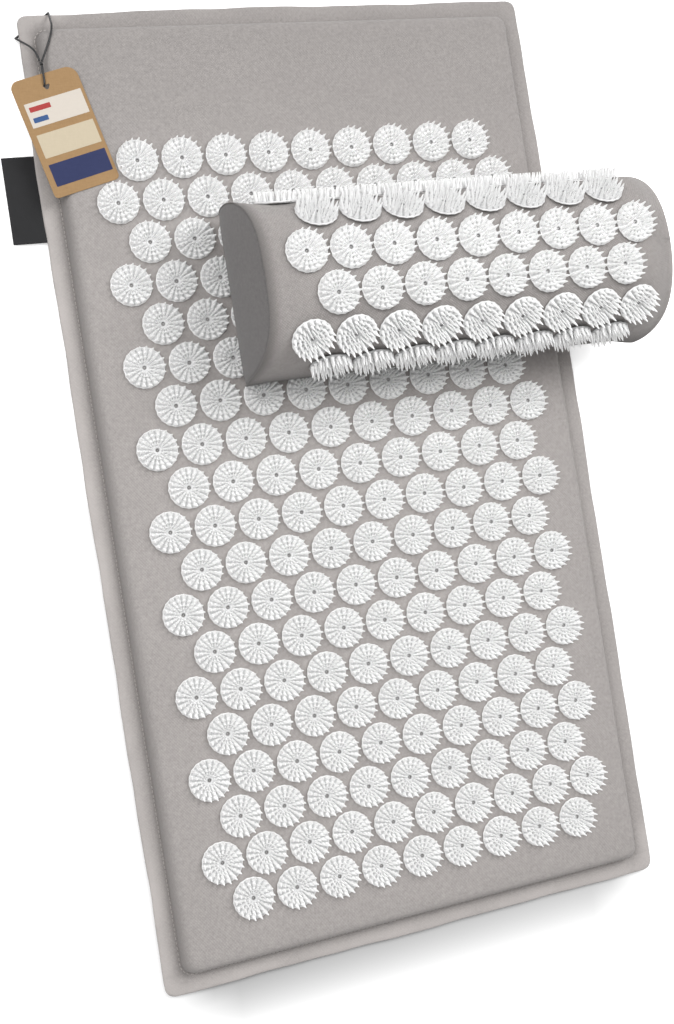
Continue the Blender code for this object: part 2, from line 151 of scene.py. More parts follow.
def add_cord(name, route, body, node, material):
    """A round cord along its route, which rides on a body and stands for a node."""
    line = smooth_line(route, cord_points_per_span)
    curve = bpy.data.curves.new(name, "CURVE")
    curve.dimensions = "3D"
    curve.bevel_depth = cord_diameter / 2
    curve.bevel_resolution = 3
    curve.use_fill_caps = True
    spline = curve.splines.new("POLY")
    spline.points.add(len(line) - 1)
    for slot, point in zip(spline.points, line):
        slot.co = (*point, 1)
    cord = add_object(name, curve)
    curve.materials.append(material)
    declare(cord, body, [node])
    return cord


# Node helpers


class Nodes:
    """A node tree with short calls for the nodes that the looks need."""

    def __init__(self, tree):
        self.tree = tree

    def add(self, kind, inputs=None, **settings):
        """A new node with its settings, its inputs fed by name or number."""
        node = self.tree.nodes.new(kind)
        for key, value in settings.items():
            setattr(node, key, value)
        for key, value in (inputs or {}).items():
            self.feed(node.inputs[key], value)
        return node

    def feed(self, socket, value):
        """Another node's output is linked, and a plain value is set."""
        if isinstance(value, bpy.types.NodeSocket):
            self.tree.links.new(value, socket)
        else:
            socket.default_value = value

    def place(self):
        return self.add("ShaderNodeTexCoord").outputs["Object"]

    def axes(self, vector):
        return self.add("ShaderNodeSeparateXYZ", {0: vector}).outputs

    def attribute(self, name, output="Vector"):
        return self.add("ShaderNodeAttribute", attribute_name=name).outputs[output]

    def stretched(self, vector, scale=(1, 1, 1), turn=(0, 0, 0)):
        inputs = {"Vector": vector, "Scale": scale, "Rotation": turn}
        return self.add("ShaderNodeMapping", inputs).outputs["Vector"]

    def noise(self, vector, size, detail=3.0, roughness=0.55):
        inputs = {"Vector": vector, "Scale": 1 / size, "Detail": detail, "Roughness": roughness}
        return self.add("ShaderNodeTexNoise", inputs).outputs["Fac"]

    def bands(self, vector, period, distortion):
        """Waves along X, one for each period."""
        inputs = {"Vector": vector, "Scale": math.tau / (20 * period), "Distortion": distortion,
                  "Detail": 1.0}
        return self.add("ShaderNodeTexWave", inputs, wave_type="BANDS", bands_direction="X",
                        wave_profile="SIN").outputs["Fac"]

    def math(self, operation, *values):
        return self.add("ShaderNodeMath", dict(enumerate(values)), operation=operation).outputs[0]

    def remap(self, value, low, high, to_low=0.0, to_high=1.0):
        inputs = {"Value": value, "From Min": low, "From Max": high, "To Min": to_low,
                  "To Max": to_high}
        return self.add("ShaderNodeMapRange", inputs).outputs["Result"]

    def ramp(self, value, *stops):
        """Colours at places from 0 to 1."""
        node = self.add("ShaderNodeValToRGB", {"Fac": value})
        for element, (at, colour) in zip(node.color_ramp.elements, stops):
            element.position = at
            element.color = (*colour, 1)
        return node.outputs["Color"]

    def mix(self, factor, first, second, blend="MIX"):
        inputs = {"Factor": factor}
        for key, colour in (("A", first), ("B", second)):
            inputs[key] = (*colour, 1) if isinstance(colour, tuple) else colour
        return self.add("ShaderNodeMix", inputs, data_type="RGBA",
                        blend_type=blend).outputs["Result"]

    def tones(self, factor, colour, first_share, second_share):
        return self.mix(factor, shade(colour, first_share), shade(colour, second_share))

    def multiplied(self, colour, by):
        return self.mix(1.0, colour, by, "MULTIPLY")

    def bump(self, height, distance, strength, under=None):
        inputs = {"Height": height, "Distance": distance, "Strength": strength}
        if under is not None:
            inputs["Normal"] = under
        return self.add("ShaderNodeBump", inputs).outputs["Normal"]


class Look(Nodes):
    """A material's nodes. Its plain numbers are set on the shader's own sockets."""

    def __init__(self, name, numbers):
        self.material = bpy.data.materials.new(name)
        self.material.use_nodes = True
        super().__init__(self.material.node_tree)
        self.shader = self.tree.nodes["Principled BSDF"]
        for key, value in numbers.items():
            self.shader.inputs[key].default_value = value

    def finish(self, colour, normal, roughness=None):
        self.feed(self.shader.inputs["Base Color"], colour)
        self.feed(self.shader.inputs["Normal"], normal)
        if roughness is not None:
            self.feed(self.shader.inputs["Roughness"], roughness)
        return self.material


def shade(colour, factor):
    return tuple(min(1.0, channel * factor) for channel in colour)


# Materials

cover_colour = (0.344, 0.321, 0.310)
# The end panels are a darker grey cloth, and their colour is darker still to paint the shade they
# lie in.
pillow_end_shaded_colour = (0.147, 0.140, 0.138)
thread_colour = (0.41, 0.385, 0.365)
disc_colour = (0.975, 0.975, 0.972)
# The discs' plastic in full painted shade, deep between the spikes
disc_shade_colour = (0.33, 0.33, 0.335)
foam_colour = (0.80, 0.76, 0.62)
label_colour = (0.006, 0.006, 0.007)
kraft_colour = (0.310, 0.193, 0.092)
cord_colour = (0.006, 0.006, 0.007)
zip_tape_colour = (0.36, 0.34, 0.325)
zip_teeth_colour = (0.30, 0.285, 0.275)
metal_colour = (0.55, 0.55, 0.56)
paper_white = (0.56, 0.51, 0.45)
paper_cream = (0.50, 0.43, 0.315)
paper_navy = (0.008, 0.015, 0.070)
print_red = (0.33, 0.032, 0.030)
print_blue = (0.028, 0.075, 0.20)

# Painted shade and light on the mat's cover: darker at its head end, which the key lamp behind
# it lights most, and a little paler over the rest, changing between two places along Y
head_shade_share = 0.89
body_light_share = 1.05
head_shade_reach = (0.36, 0.14)
# How pale the painted shade in a crease and at the rolled-in edges is beside the flat cloth
mat_painted_shade_share = 0.62
pillow_painted_shade_share = 0.37
# The cloth's pattern: the pitch and slant of its ribs, the pitch of its threads, and how long
# its thick threads, its mottling and its speckles are
twill_pitch = 0.00150
twill_degrees = 52
thread_pitch = 0.00062
slub_size = 0.0011
mottle_size = 0.045
speckle_size = 0.0024
speckle_dark = (0.78, 0.78, 0.785)
speckle_pale = (1.16, 1.16, 1.16)
# Pitch of the ribs across a woven ribbon or tape, and its roughness
ribbon_pitch = 0.0008
ribbon_roughness = 0.8


def cloth_material(name, colour, contrast, painted_shade_share=mat_painted_shade_share, head_shaded=False):
    """Matt twill: diagonal ribs, fine crossed threads, soft mottling, paler worn edges and painted
    shade in creases.
    """
    nodes = Look(name, {"Roughness": 0.9, "Sheen Weight": 0.12, "Sheen Roughness": 0.5,
                        "Specular IOR Level": 0.25})
    laid = nodes.attribute("cloth_uv")
    place = nodes.place()
    rib, cross, warp, weft = [
        nodes.bands(nodes.stretched(laid, turn=(0, 0, math.radians(turn))), pitch, distortion)
        for turn, pitch, distortion in ((twill_degrees, twill_pitch, 0.6),
                                        (twill_degrees - 90, twill_pitch * 1.06, 0.6),
                                        (0, thread_pitch, 0.3), (90, thread_pitch, 0.3))]
    ribs = nodes.math("MULTIPLY", rib, cross)
    threads = nodes.math("MAXIMUM", warp, weft)
    weave = nodes.math("MULTIPLY_ADD", threads, 0.45, ribs)
    slub = nodes.noise(nodes.stretched(laid, (1, 0.12, 1)), slub_size, 2.0)
    mottle = nodes.noise(place, mottle_size, 3.0)
    speckle = nodes.noise(place, speckle_size, 4.0, 0.8)
    tone = nodes.tones(mottle, colour, 0.95, 1.05)
    tone = nodes.multiplied(tone, nodes.mix(
        nodes.remap(speckle, 0.3, 0.7), speckle_dark, speckle_pale))
    tone = nodes.multiplied(tone, nodes.mix(
        nodes.remap(weave, 0.1, 1.2), (1 - 0.10 * contrast,) * 3, (1 + 0.04 * contrast,) * 3))
    tone = nodes.mix(nodes.remap(slub, 0.35, 0.75, 0.0, 0.5), tone, shade(colour, 0.92))
    worn = nodes.attribute("wear", "Fac")
    rubbed = nodes.math("MULTIPLY", worn, nodes.remap(mottle, 0.35, 0.65, 0.55, 1.0))
    tone = nodes.mix(rubbed, tone, shade(colour, 1.30))
    # Painted shade along creases, seams and rolled-in edges.
    tone = nodes.mix(nodes.attribute("painted_shade", "Fac"), tone, shade(colour, painted_shade_share))
    # Painted shade towards the mat's head end, and painted light over the rest of it.
    if head_shaded:
        along = nodes.axes(place)["Y"]
        tone = nodes.multiplied(tone, nodes.remap(along, *head_shade_reach, head_shade_share,
                                                  body_light_share))
    fine = nodes.bump(weave, 0.00022, 0.55 * contrast)
    normal = nodes.bump(mottle, 0.0012, 0.35, fine)
    return nodes.finish(tone, normal, nodes.remap(weave, 0.0, 1.4, 0.96, 0.82))


def plastic_material():
    """Glossy white moulded plastic, a little uneven in tone and polish, with painted shade between
    spikes.
    """
    nodes = Look("moulded_plastic", {"Roughness": 0.3, "IOR": 1.49})
    place = nodes.place()
    cloud = nodes.noise(place, 0.02, 2.0)
    grain = nodes.noise(place, 0.0006, 2.0)
    tone = nodes.ramp(cloud, (0.3, shade(disc_colour, 0.975)), (0.7, shade(disc_colour, 1.02)))
    # Painted shade: the colour falls towards the shade colour where the disc's painted light share
    # is low.
    tone = nodes.mix(nodes.attribute("light", "Fac"), disc_shade_colour, tone)
    rough = nodes.remap(grain, 0.3, 0.7, 0.24, 0.38)
    return nodes.finish(tone, nodes.bump(grain, 0.00006, 0.35), rough)


def paper_material(name, colour, fibre=0.05, rough=0.8):
    """Paper or card: short fibres lying both ways, flecks, and a soft tone."""
    nodes = Look(name, {"Roughness": rough, "Specular IOR Level": 0.3})
    place = nodes.place()
    along = nodes.noise(nodes.stretched(place, (1, 0.2, 1)), 0.0009, 4.0, 0.7)
    over = nodes.noise(nodes.stretched(place, (0.2, 1, 1)), 0.0011, 4.0, 0.7)
    fibres = nodes.math("MULTIPLY", nodes.math("ADD", along, over), 0.5)
    fleck = nodes.noise(place, 0.0016, 5.0, 0.8)
    tone = nodes.tones(nodes.remap(fibres, 0.35, 0.65), colour, 1 - fibre, 1 + fibre)
    tone = nodes.mix(nodes.remap(fleck, 0.62, 0.72), tone, shade(colour, 1 - 3 * fibre))
    return nodes.finish(tone, nodes.bump(fibres, 0.00008, 0.6),
                        nodes.remap(fibres, 0.3, 0.7, rough + 0.06, rough - 0.08))


def ribbon_material(name, colour):
    """Woven ribbon or tape: fine ribs across and threads along."""
    nodes = Look(name, {"Roughness": ribbon_roughness, "Sheen Weight": 0.08})
    laid = nodes.attribute("cloth_uv")
    across = nodes.stretched(laid, turn=(0, 0, math.radians(90)))
    ribs = nodes.bands(laid, ribbon_pitch, 0.2)
    threads = nodes.bands(across, ribbon_pitch * 0.6, 0.2)
    weave = nodes.math("MULTIPLY_ADD", threads, 0.5, ribs)
    cloud = nodes.noise(nodes.place(), 0.008, 3.0)
    tone = nodes.tones(nodes.remap(weave, 0.0, 1.4), colour, 0.75, 1.35)
    tone = nodes.mix(nodes.remap(cloud, 0.35, 0.7, 0.0, 0.5), tone, shade(colour, 1.5))
    rough = nodes.remap(weave, 0.0, 1.4, ribbon_roughness + 0.2, ribbon_roughness - 0.05)
    return nodes.finish(tone, nodes.bump(weave, 0.00015, 0.7), rough)


def thread_material(name, colour, twist, rough):
    """Twisted thread or cord: slanting strands with a little fuzz."""
    nodes = Look(name, {"Roughness": rough})
    place = nodes.place()
    strand = nodes.bands(nodes.stretched(place, turn=(0.5, 0.6, math.radians(45))), twist, 1.2)
    fuzz = nodes.noise(place, 0.0005, 3.0)
    tone = nodes.tones(strand, colour, 0.75, 1.25)
    tone = nodes.mix(nodes.remap(fuzz, 0.4, 0.7, 0.0, 0.4), tone, shade(colour, 1.5))
    return nodes.finish(tone, nodes.bump(strand, 0.00008, 0.7),
                        nodes.remap(fuzz, 0.3, 0.7, rough - 0.1, rough + 0.15))


def foam_material():
    """Open cells with pale rims, and pits painted darker for the shade in them."""
    nodes = Look("open_cell_foam", {"Roughness": 0.95})
    cells = nodes.add("ShaderNodeTexVoronoi", {"Vector": nodes.place(), "Scale": 1 / 0.0012},
                      feature="DISTANCE_TO_EDGE")
    walls = nodes.remap(cells.outputs["Distance"], 0.0, 0.25)
    tone = nodes.tones(walls, foam_colour, 1.05, 0.72)
    return nodes.finish(tone, nodes.bump(walls, -0.0003, 0.8))


def metal_material():
    """Dull nickel with fine brushing and rubbed patches."""
    nodes = Look("dull_nickel", {"Roughness": 0.32, "Metallic": 1.0})
    place = nodes.place()
    brush = nodes.noise(nodes.stretched(place, (0.08, 1, 1)), 0.0004, 3.0)
    patch = nodes.noise(place, 0.003, 3.0)
    tone = nodes.tones(nodes.remap(patch, 0.35, 0.7), metal_colour, 0.82, 1.12)
    return nodes.finish(tone, nodes.bump(brush, 0.00004, 0.5),
                        nodes.remap(brush, 0.3, 0.7, 0.24, 0.46))


def teeth_material():
    """Grey nylon, a little uneven in tone and polish."""
    nodes = Look("nylon_coil", {"Roughness": 0.45})
    cloud = nodes.noise(nodes.place(), 0.001, 3.0)
    tone = nodes.tones(cloud, zip_teeth_colour, 0.85, 1.15)
    return nodes.finish(tone, nodes.bump(cloud, 0.00005, 0.4),
                        nodes.remap(cloud, 0.3, 0.7, 0.38, 0.55))


# Mesh helpers


def declare(piece, body, nodes=()):
    """The body a piece rides on and the nodes it stands for."""
    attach(piece, body)
    if nodes:
        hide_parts(*nodes)


def add_piece(name, points, faces, material, body, nodes=(), attributes=None,
              smooth=True):
    """A mesh piece that rides on a body, stands for CAD nodes and carries point attributes."""
    mesh = bpy.data.meshes.new(name)
    mesh.from_pydata([tuple(point) for point in points], [], [tuple(face) for face in faces])
    mesh.update()
    if smooth:
        mesh.shade_smooth()
    for key, values in (attributes or {}).items():
        values = np.asarray(values, np.float32)
        if values.ndim == 1:
            mesh.attributes.new(key, "FLOAT", "POINT").data.foreach_set("value", values)
        else:
            layer = mesh.attributes.new(key, "FLOAT_VECTOR", "POINT")
            layer.data.foreach_set("vector", values.ravel())
    mesh.materials.append(material)
    piece = add_object(name, mesh)
    declare(piece, body, nodes)
    return piece


def thicken(piece, thickness, offset=-1.0):
    modifier = piece.modifiers.new("thickness", "SOLIDIFY")
    modifier.thickness = thickness
    modifier.offset = offset
    modifier.use_even_offset = False


def grid_faces(rows, columns, closed=False):
    """Quads of a grid of points stored row after row. A closed grid joins its last column."""
    faces = []
    for row in range(rows - 1):
        for column in range(columns if closed else columns - 1):
            follower = (column + 1) % columns
            faces.append((row * columns + column, row * columns + follower,
                          (row + 1) * columns + follower, (row + 1) * columns + column))
    return faces


def circle(sides, start=0.0):
    """(cosine, sine) at even steps round from an angle."""
    angle = start + math.tau * np.arange(sides) / sides
    return np.stack((np.cos(angle), np.sin(angle)), 1)


def tube_faces(rings, sides):
    """Faces of a closed tube with flat ends, for points stored ring after ring."""
    last = (rings - 1) * sides
    return grid_faces(rings, sides, closed=True) + [tuple(range(sides))[::-1],
                                                    tuple(range(last, last + sides))]


def join_parts(parts):
    """Several (points, faces) put together."""
    points, faces, base = [], [], 0
    for part_points, part_faces in parts:
        points.append(np.asarray(part_points, float))
        faces += [tuple(index + base for index in face) for face in part_faces]
        base += len(part_points)
    return np.concatenate(points), faces


def lathe(profile, segments, lobe_depths=None, close_top=False):
    """Rings of (radius, z) turned about Z. A ring's lobe depth makes its edge scalloped."""
    points = []
    for ring, (radius, z) in enumerate(profile):
        depth = lobe_depths[ring] if lobe_depths else 0
        for step in range(segments):
            angle = math.tau * step / segments
            reach = radius + depth * math.cos(spike_files * angle)
            points.append((reach * math.cos(angle), reach * math.sin(angle), z))
    faces = grid_faces(len(profile), segments, closed=True)
    if close_top:
        first = (len(profile) - 1) * segments
        faces.append(tuple(range(first, first + segments)))
    return points, faces


def smoothstep(value):
    value = np.clip(value, 0, 1)
    return value * value * (3 - 2 * value)


def ripple_field(points, size, seed):
    """A smooth repeatable field from about -1 to 1: a few waves that cross each other."""
    draw = np.random.default_rng(seed)
    field = np.zeros(len(points))
    for _ in range(9):
        angle = draw.uniform(0, math.tau)
        wavelength = size * draw.uniform(0.7, 1.8)
        run = points[:, 0] * math.cos(angle) + points[:, 1] * math.sin(angle)
        field += np.sin(run * math.tau / wavelength + draw.uniform(0, math.tau))
    return field / 4.5


# Spiked discs

spike_files = 18
# Radius of each ring of spikes, every how many files it has one, and its size share
spike_rings = [(0.0140, 1, 1.0), (0.0104, 1, 0.80), (0.0070, 1, 0.55), (0.0042, 2, 0.50)]
spike_sides = 6
spike_root_radius = 0.00188
spike_fan_degrees = 10.0
# How far a spike's root reaches down into the plate
spike_sink = 0.0003
# Height share, radius share and painted light share of each ring of a spike, from root to blunt
# tip, the root ring darker with painted shade
spike_profile_shares = [(0.0, 1.0, 0.6), (0.14, 0.83, 1.0), (0.45, 0.56, 1.0),
                        (0.82, 0.31, 1.0), (0.98, 0.14, 1.0)]
plate_segments = 36
plate_lobe_depth = 0.00022
# Radius, height and painted light share of each ring of the plate, from under its rim to its hole;
# low shares are painted shade under the rim, between the spikes and down the hole
plate_profile = [
    (0.0155, 0.0, 0.4), (0.0159, 0.0002, 0.6), (0.0160, 0.0008, 0.8), (0.0157, 0.0013, 0.8),
    (0.0154, 0.0014, 0.6), (0.0148, 0.0013, 0.4), (0.0120, 0.0013, 0.4),
    (0.0060, 0.0013, 0.4), (0.0036, 0.0013, 0.4),
    (0.0029, 0.0014, 0.5), (0.0024, 0.0014, 0.5), (0.0018, 0.0013, 0.4),
    (0.0014, 0.0012, 0.1), (0.0013, 0.0002, 0.0),
]
# Low ribs run out under the spikes, on some rings of the plate: their rise, and the painted light
# share on them and between them, where the grooves are painted dark with shade
plate_ribbed_rings = slice(5, 8)
rib_rise = 0.0005
rib_painted_light = 0.88
groove_painted_light = 0.16
# The fastening stud in the plate's hole, painted dark with the shade in the hole
stud_profile = [(0.0006, 0.0001), (0.0006, 0.0004), (0.0003, 0.0005)]
stud_segments = 12
stud_painted_light = 0.2


def spike_parts():
    """All spikes of one disc, upright at its middle and fanning out towards its rim."""
    outer = spike_rings[0][0]
    light = np.repeat([share[2] for share in spike_profile_shares], spike_sides)
    parts = []
    for ring_radius, stride, size in spike_rings:
        slope = math.tan(math.radians(spike_fan_degrees) * ring_radius / outer)
        for out in circle(spike_files)[::stride]:
            lap = circle(spike_sides, math.atan2(out[1], out[0])) * spike_root_radius * size
            points = []
            for height_share, radius_share, _ in spike_profile_shares:
                rise = height_share * (spike_height + spike_sink) - spike_sink
                rim = out * (ring_radius + slope * rise) + lap * radius_share
                points += [(x, y, disc_plate_thickness + rise) for x, y in rim]
            faces = grid_faces(len(spike_profile_shares), spike_sides, closed=True)
            top = len(points) - spike_sides
            faces += [(top + side, top + (side + 1) % spike_sides, len(points))
                      for side in range(spike_sides)]
            points.append((*(out * (ring_radius + slope * spike_height)),
                           disc_plate_thickness + spike_height))
            parts.append((points, faces, np.append(light, 1.0)))
    return parts


def disc_template():
    """One disc's points, faces and painted light shares, 0 for painted shade deep between the
    spikes and 1 on top.
    """
    lobe_depths = [plate_lobe_depth] * 4 + [plate_lobe_depth / 2]
    lobe_depths += [0] * (len(plate_profile) - len(lobe_depths))
    points, faces = lathe([ring[:2] for ring in plate_profile], plate_segments, lobe_depths)
    points = np.array(points)
    light = np.repeat([ring[2] for ring in plate_profile], plate_segments)
    ribbed = slice(plate_ribbed_rings.start * plate_segments,
                   plate_ribbed_rings.stop * plate_segments)
    wave = np.cos(spike_files * np.arctan2(points[ribbed, 1], points[ribbed, 0])) / 2 + 0.5
    points[ribbed, 2] += rib_rise * wave
    light[ribbed] = groove_painted_light + (rib_painted_light - groove_painted_light) * wave
    stud = lathe(stud_profile, stud_segments, close_top=True)
    parts = [(points, faces, light), (*stud, np.full(len(stud[0]), stud_painted_light))]
    parts += spike_parts()
    points, faces = join_parts([part[:2] for part in parts])
    return points, faces, np.concatenate([part[2] for part in parts])


def add_disc_row(name, node, body, places, material, painted_light_share=1.0, plate_painted_light_share=1.0):
    """One row of discs, each a copy of the template set by its own matrix."""
    # Painted light and shade: the row's share scales the template's shares, and the plate share
    # darkens the plates alone.
    light = template_painted_light * painted_light_share
    light[:len(plate_profile) * plate_segments] *= plate_painted_light_share
    points, faces = join_parts([
        (template_points @ np.array(place.to_3x3()).T + np.array(place.translation),
         template_faces) for place in places])
    return add_piece(name, points, faces, material, body, [node],
                     {"light": np.tile(light, len(places))})


def mat_disc_places():
    """Where each disc of each row on the mat stands, read from the frame's rows."""
    rows = []
    draw = np.random.default_rng(5)
    for index in range(mat_row_count):
        low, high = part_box("mat_disc_row_%02d" % (index + 1))
        count = round((high.x - low.x - 2 * disc_radius) / mat_column_pitch) + 1
        row = []
        for column in range(count):
            centre = Vector((low.x + disc_radius + column * mat_column_pitch,
                             (low.y + high.y) / 2, low.z))
            turn = math.radians(draw.uniform(-mat_disc_turn_degrees, mat_disc_turn_degrees))
            row.append(Matrix.Translation(centre) @ Matrix.Rotation(turn, 4, "Z"))
        rows.append(row)
    return rows


def d_section(count, inset=0.0):
    """Half of a rounded rectangle standing on its base: the pillow's end view, (y, z) pairs."""
    angle = np.linspace(0, math.pi, count + 1)
    across = np.sign(np.cos(angle)) * np.abs(np.cos(angle)) ** (2 / pillow_roundness)
    up = np.abs(np.sin(angle)) ** (2 / pillow_roundness)
    return np.stack(((pillow_depth / 2 - inset) * across, (pillow_height - inset) * up), 1)


def line_lengths(line):
    """How far along a line each of its points lies."""
    steps = np.hypot(*np.diff(line, axis=0).T)
    return np.concatenate(([0.0], np.cumsum(steps)))


def line_at(line, lengths, run):
    """Points on a line at lengths along it."""
    return np.stack([np.interp(run, lengths, axis) for axis in line.T], -1)


section_curve = d_section(1200)
section_run = line_lengths(section_curve)


def section_at(run):
    """Points and outward normals on the pillow's section at lengths along it from its rear."""
    run = np.asarray(run, float)
    step = section_run[-1] / 800
    along = line_at(section_curve, section_run, run + step) \
        - line_at(section_curve, section_run, run - step)
    along /= np.linalg.norm(along, axis=-1, keepdims=True)
    return (line_at(section_curve, section_run, run),
            np.stack((along[..., 1], -along[..., 0]), -1))


def pillow_disc_spots():
    """(row, x, length along the section) of each disc on the pillow, x from its middle."""
    spots = []
    for index in range(pillow_row_count):
        count = pillow_row_counts[index % 2]
        run = section_run[-1] / 2 + (index - (pillow_row_count - 1) / 2) * row_pitch
        for column in range(count):
            x = pillow_row_shifts[index] + (column - (count - 1) / 2) * pillow_column_pitch
            spots.append((index, x, run))
    return spots


def pillow_disc_places():
    """Where each disc of each row on the pillow stands, upright on its section."""
    rows = [[] for _ in range(pillow_row_count)]
    draw = np.random.default_rng(6)
    for index, x, run in pillow_disc_spots():
        (y, z), (across, up) = section_at(run)
        tilt = Matrix.Rotation(math.atan2(-across, up), 4, "X")
        turn = math.radians(draw.uniform(-pillow_disc_turn_degrees, pillow_disc_turn_degrees))
        spot = pillow_origin + Vector((x, y + across * surface_gap, z + up * surface_gap))
        rows[index].append(Matrix.Translation(spot) @ tilt @ Matrix.Rotation(turn, 4, "Z"))
    return rows


# Painted shade on each row's plastic on the pillow, rear to front: the rear rows, lit hardest by
# the key lamp, are darker, and the front row's plates are painted dark for the row above's shade
pillow_row_painted_light = (0.75, 0.80, 1.0, 1.0, 0.97, 1.0)
pillow_plate_painted_light = (1.0, 1.0, 1.0, 1.0, 0.9, 0.3)


def add_discs(material):
    """Every row of discs, on the mat and on the pillow."""
    for index, places in enumerate(mat_disc_places()):
        add_disc_row("mat_discs_%02d" % (index + 1), "mat_disc_row_%02d" % (index + 1), "mat",
                     places, material)
    for index, places in enumerate(pillow_disc_places()):
        add_disc_row("pillow_discs_%d" % (index + 1), "pillow_disc_row_%d" % (index + 1),
                     "pillow", places, material, pillow_row_painted_light[index],
                     pillow_plate_painted_light[index])


# Mat: cover, stitches and foam

# Step of the cover's grid, the width of the pad's rounded side and where that side starts
mat_step = 0.003
pad_round_width = 0.0080
wall_foot = 0.0042
# Corner radius at distances in from the flange's outer edge
corner_radii = [(0.0, 0.0075), (0.013, 0.0095), (0.022, 0.007), (0.045, 0.0)]
mat_zip_height = 0.0092
mat_zip_half_length = 0.150
zip_groove_depth = 0.0012
zip_groove_half_height = 0.0025
# Levels at which a panel is bent for the groove that a zip sits in, from the zip's middle
zip_groove_levels = (-0.0029, -0.0025, 0.0, 0.0025, 0.0029)
# (inset, z) over and under the sewn flange, from its outer edge in
flange_top_line = [(0.0, 0.0035), (0.0002, 0.0041), (0.0007, 0.0046), (0.0016, 0.0049),
                   (0.0035, 0.0050), (0.0060, 0.0050), (0.0085, 0.0049), (0.0105, 0.0047),
                   (0.0118, 0.0044), (0.0126, 0.0042)]
base_line = [(0.0, 0.0035), (0.0002, 0.0029), (0.0007, 0.0024), (0.0016, 0.0021),
             (0.0040, 0.0021), (0.0080, 0.0021), (0.0115, 0.0020), (0.0132, 0.0016),
             (0.0146, 0.0009), (0.0162, 0.0003), (0.0185, 0.0001)]
# Levels of the grid up the pad's side, below and above the zip
low_wall_level = 0.0052
high_wall_levels = (0.0140, 0.0160, 0.0176, 0.0188, 0.0196)


def top_band():
    """(inset, z) from the flange's outer edge over the crease and up the pad's rounded side."""
    band = list(flange_top_line)
    for height in (low_wall_level, *(mat_zip_height + level for level in zip_groove_levels),
                   *high_wall_levels):
        share = (height - wall_foot) / (pad_top - wall_foot)
        band.append((crease_inset + pad_round_width * (1 - math.sqrt(1 - share ** 2)), height))
    band.append((crease_inset + pad_round_width + 0.0006, pad_top))
    return band


def band_lines(half, inner_inset, insets, step):
    """Grid lines across one way: dense in the band at each edge and even between."""
    inner = half - inner_inset
    count = int(2 * inner / step)
    middle = np.linspace(-inner, inner, count + 1)[1:-1]
    edge = half - np.array(insets)
    return np.concatenate((-edge, middle, edge[::-1]))


def corner_radius_at(inset):
    return np.interp(inset, *np.array(corner_radii).T)


def rounded_sheet(half_x, half_y, band, step):
    """A grid over a rounded rectangle whose outer rings follow a band of (inset, z)."""
    insets = [inset for inset, _ in band]
    xs = band_lines(half_x, insets[-1], insets, step)
    ys = band_lines(half_y, insets[-1], insets, step)
    grid_x, grid_y = [axis.ravel() for axis in np.meshgrid(xs, ys)]
    inset = np.maximum(np.minimum(half_x - np.abs(grid_x), half_y - np.abs(grid_y)), 0)
    radius = corner_radius_at(inset)
    over_x = np.abs(grid_x) - (half_x - inset - radius)
    over_y = np.abs(grid_y) - (half_y - inset - radius)
    at_corner = (over_x > 0) & (over_y > 0) & (radius > 0)
    reach = np.where(at_corner, np.hypot(over_x, over_y), 1)
    pull = radius / np.maximum(reach, 1e-9)
    x, y = [np.where(at_corner, np.sign(line) * (half - inset - radius + over * pull), line)
            for line, half, over in ((grid_x, half_x, over_x), (grid_y, half_y, over_y))]
    points = np.stack((x, y, np.interp(inset, insets, [z for _, z in band])), 1)
    return points, inset, len(ys), len(xs)


def cloth_run(inset, band):
    """Length over the band's surface for each inset, so that the weave isn't stretched."""
    line = np.array(band)
    return np.interp(inset, line[:, 0], line_lengths(line)) - np.minimum(inset, line[-1, 0])


# The flange lies still round the tag's cord: that place's middle and radius, and the fade past it
cord_pass = (knot_centre.x, knot_centre.y + 0.03)
cord_pass_radius = 0.03
cord_pass_fade = 0.05
# Height, length and seed of each wave of the loose flange, and the most that it lifts or dips
flange_waves = ((0.0005, 0.13, 11), (0.0002, 0.045, 12))
flange_wave_limit = 0.0012
# The corner at the left and foot dips to the floor
corner_dip = 0.0007
corner_dip_reach = 0.05


def off_cord(points):
    """0 where the tag's cord passes round the flange, rising to 1 away from it."""
    away = np.hypot(points[:, 0] - cord_pass[0], points[:, 1] - cord_pass[1])
    return smoothstep((away - cord_pass_radius) / cord_pass_fade)


def flange_wave(points, inset):
    """How far the loose flange lifts or dips. It lies still where the cord passes under it."""
    loose = smoothstep((crease_inset - inset) / crease_inset)
    lift = sum(height * ripple_field(points[:, :2], length, seed)
               for height, length, seed in flange_waves) * off_cord(points)
    corner = np.hypot(points[:, 0] + mat_half_x, points[:, 1] + mat_half_y)
    lift -= corner_dip * (1 - smoothstep(corner / corner_dip_reach))
    return loose * np.clip(lift, -flange_wave_limit, flange_wave_limit)


# How much further out the soft flange lies than the frame's, and the pad's foot with it
flange_growth = {"left": 0.0022, "right": 0.0036, "head": 0.0022, "foot": 0.0018}
foot_growth = 0.0030
# The pad's foot moves out within this distance of the mat's foot edge
foot_growth_reach = (0.036, 0.016)
# How far the sewn edge wanders, and the share, length and phase of each of its waves, with what
# is added to the phase along the head and foot edges
edge_wander = 0.0004
edge_waves = ((1.0, 0.21, 1.0, 1.0), (0.6, 0.083, 2.0, 0.0), (0.35, 0.041, 0.0, 0.0))


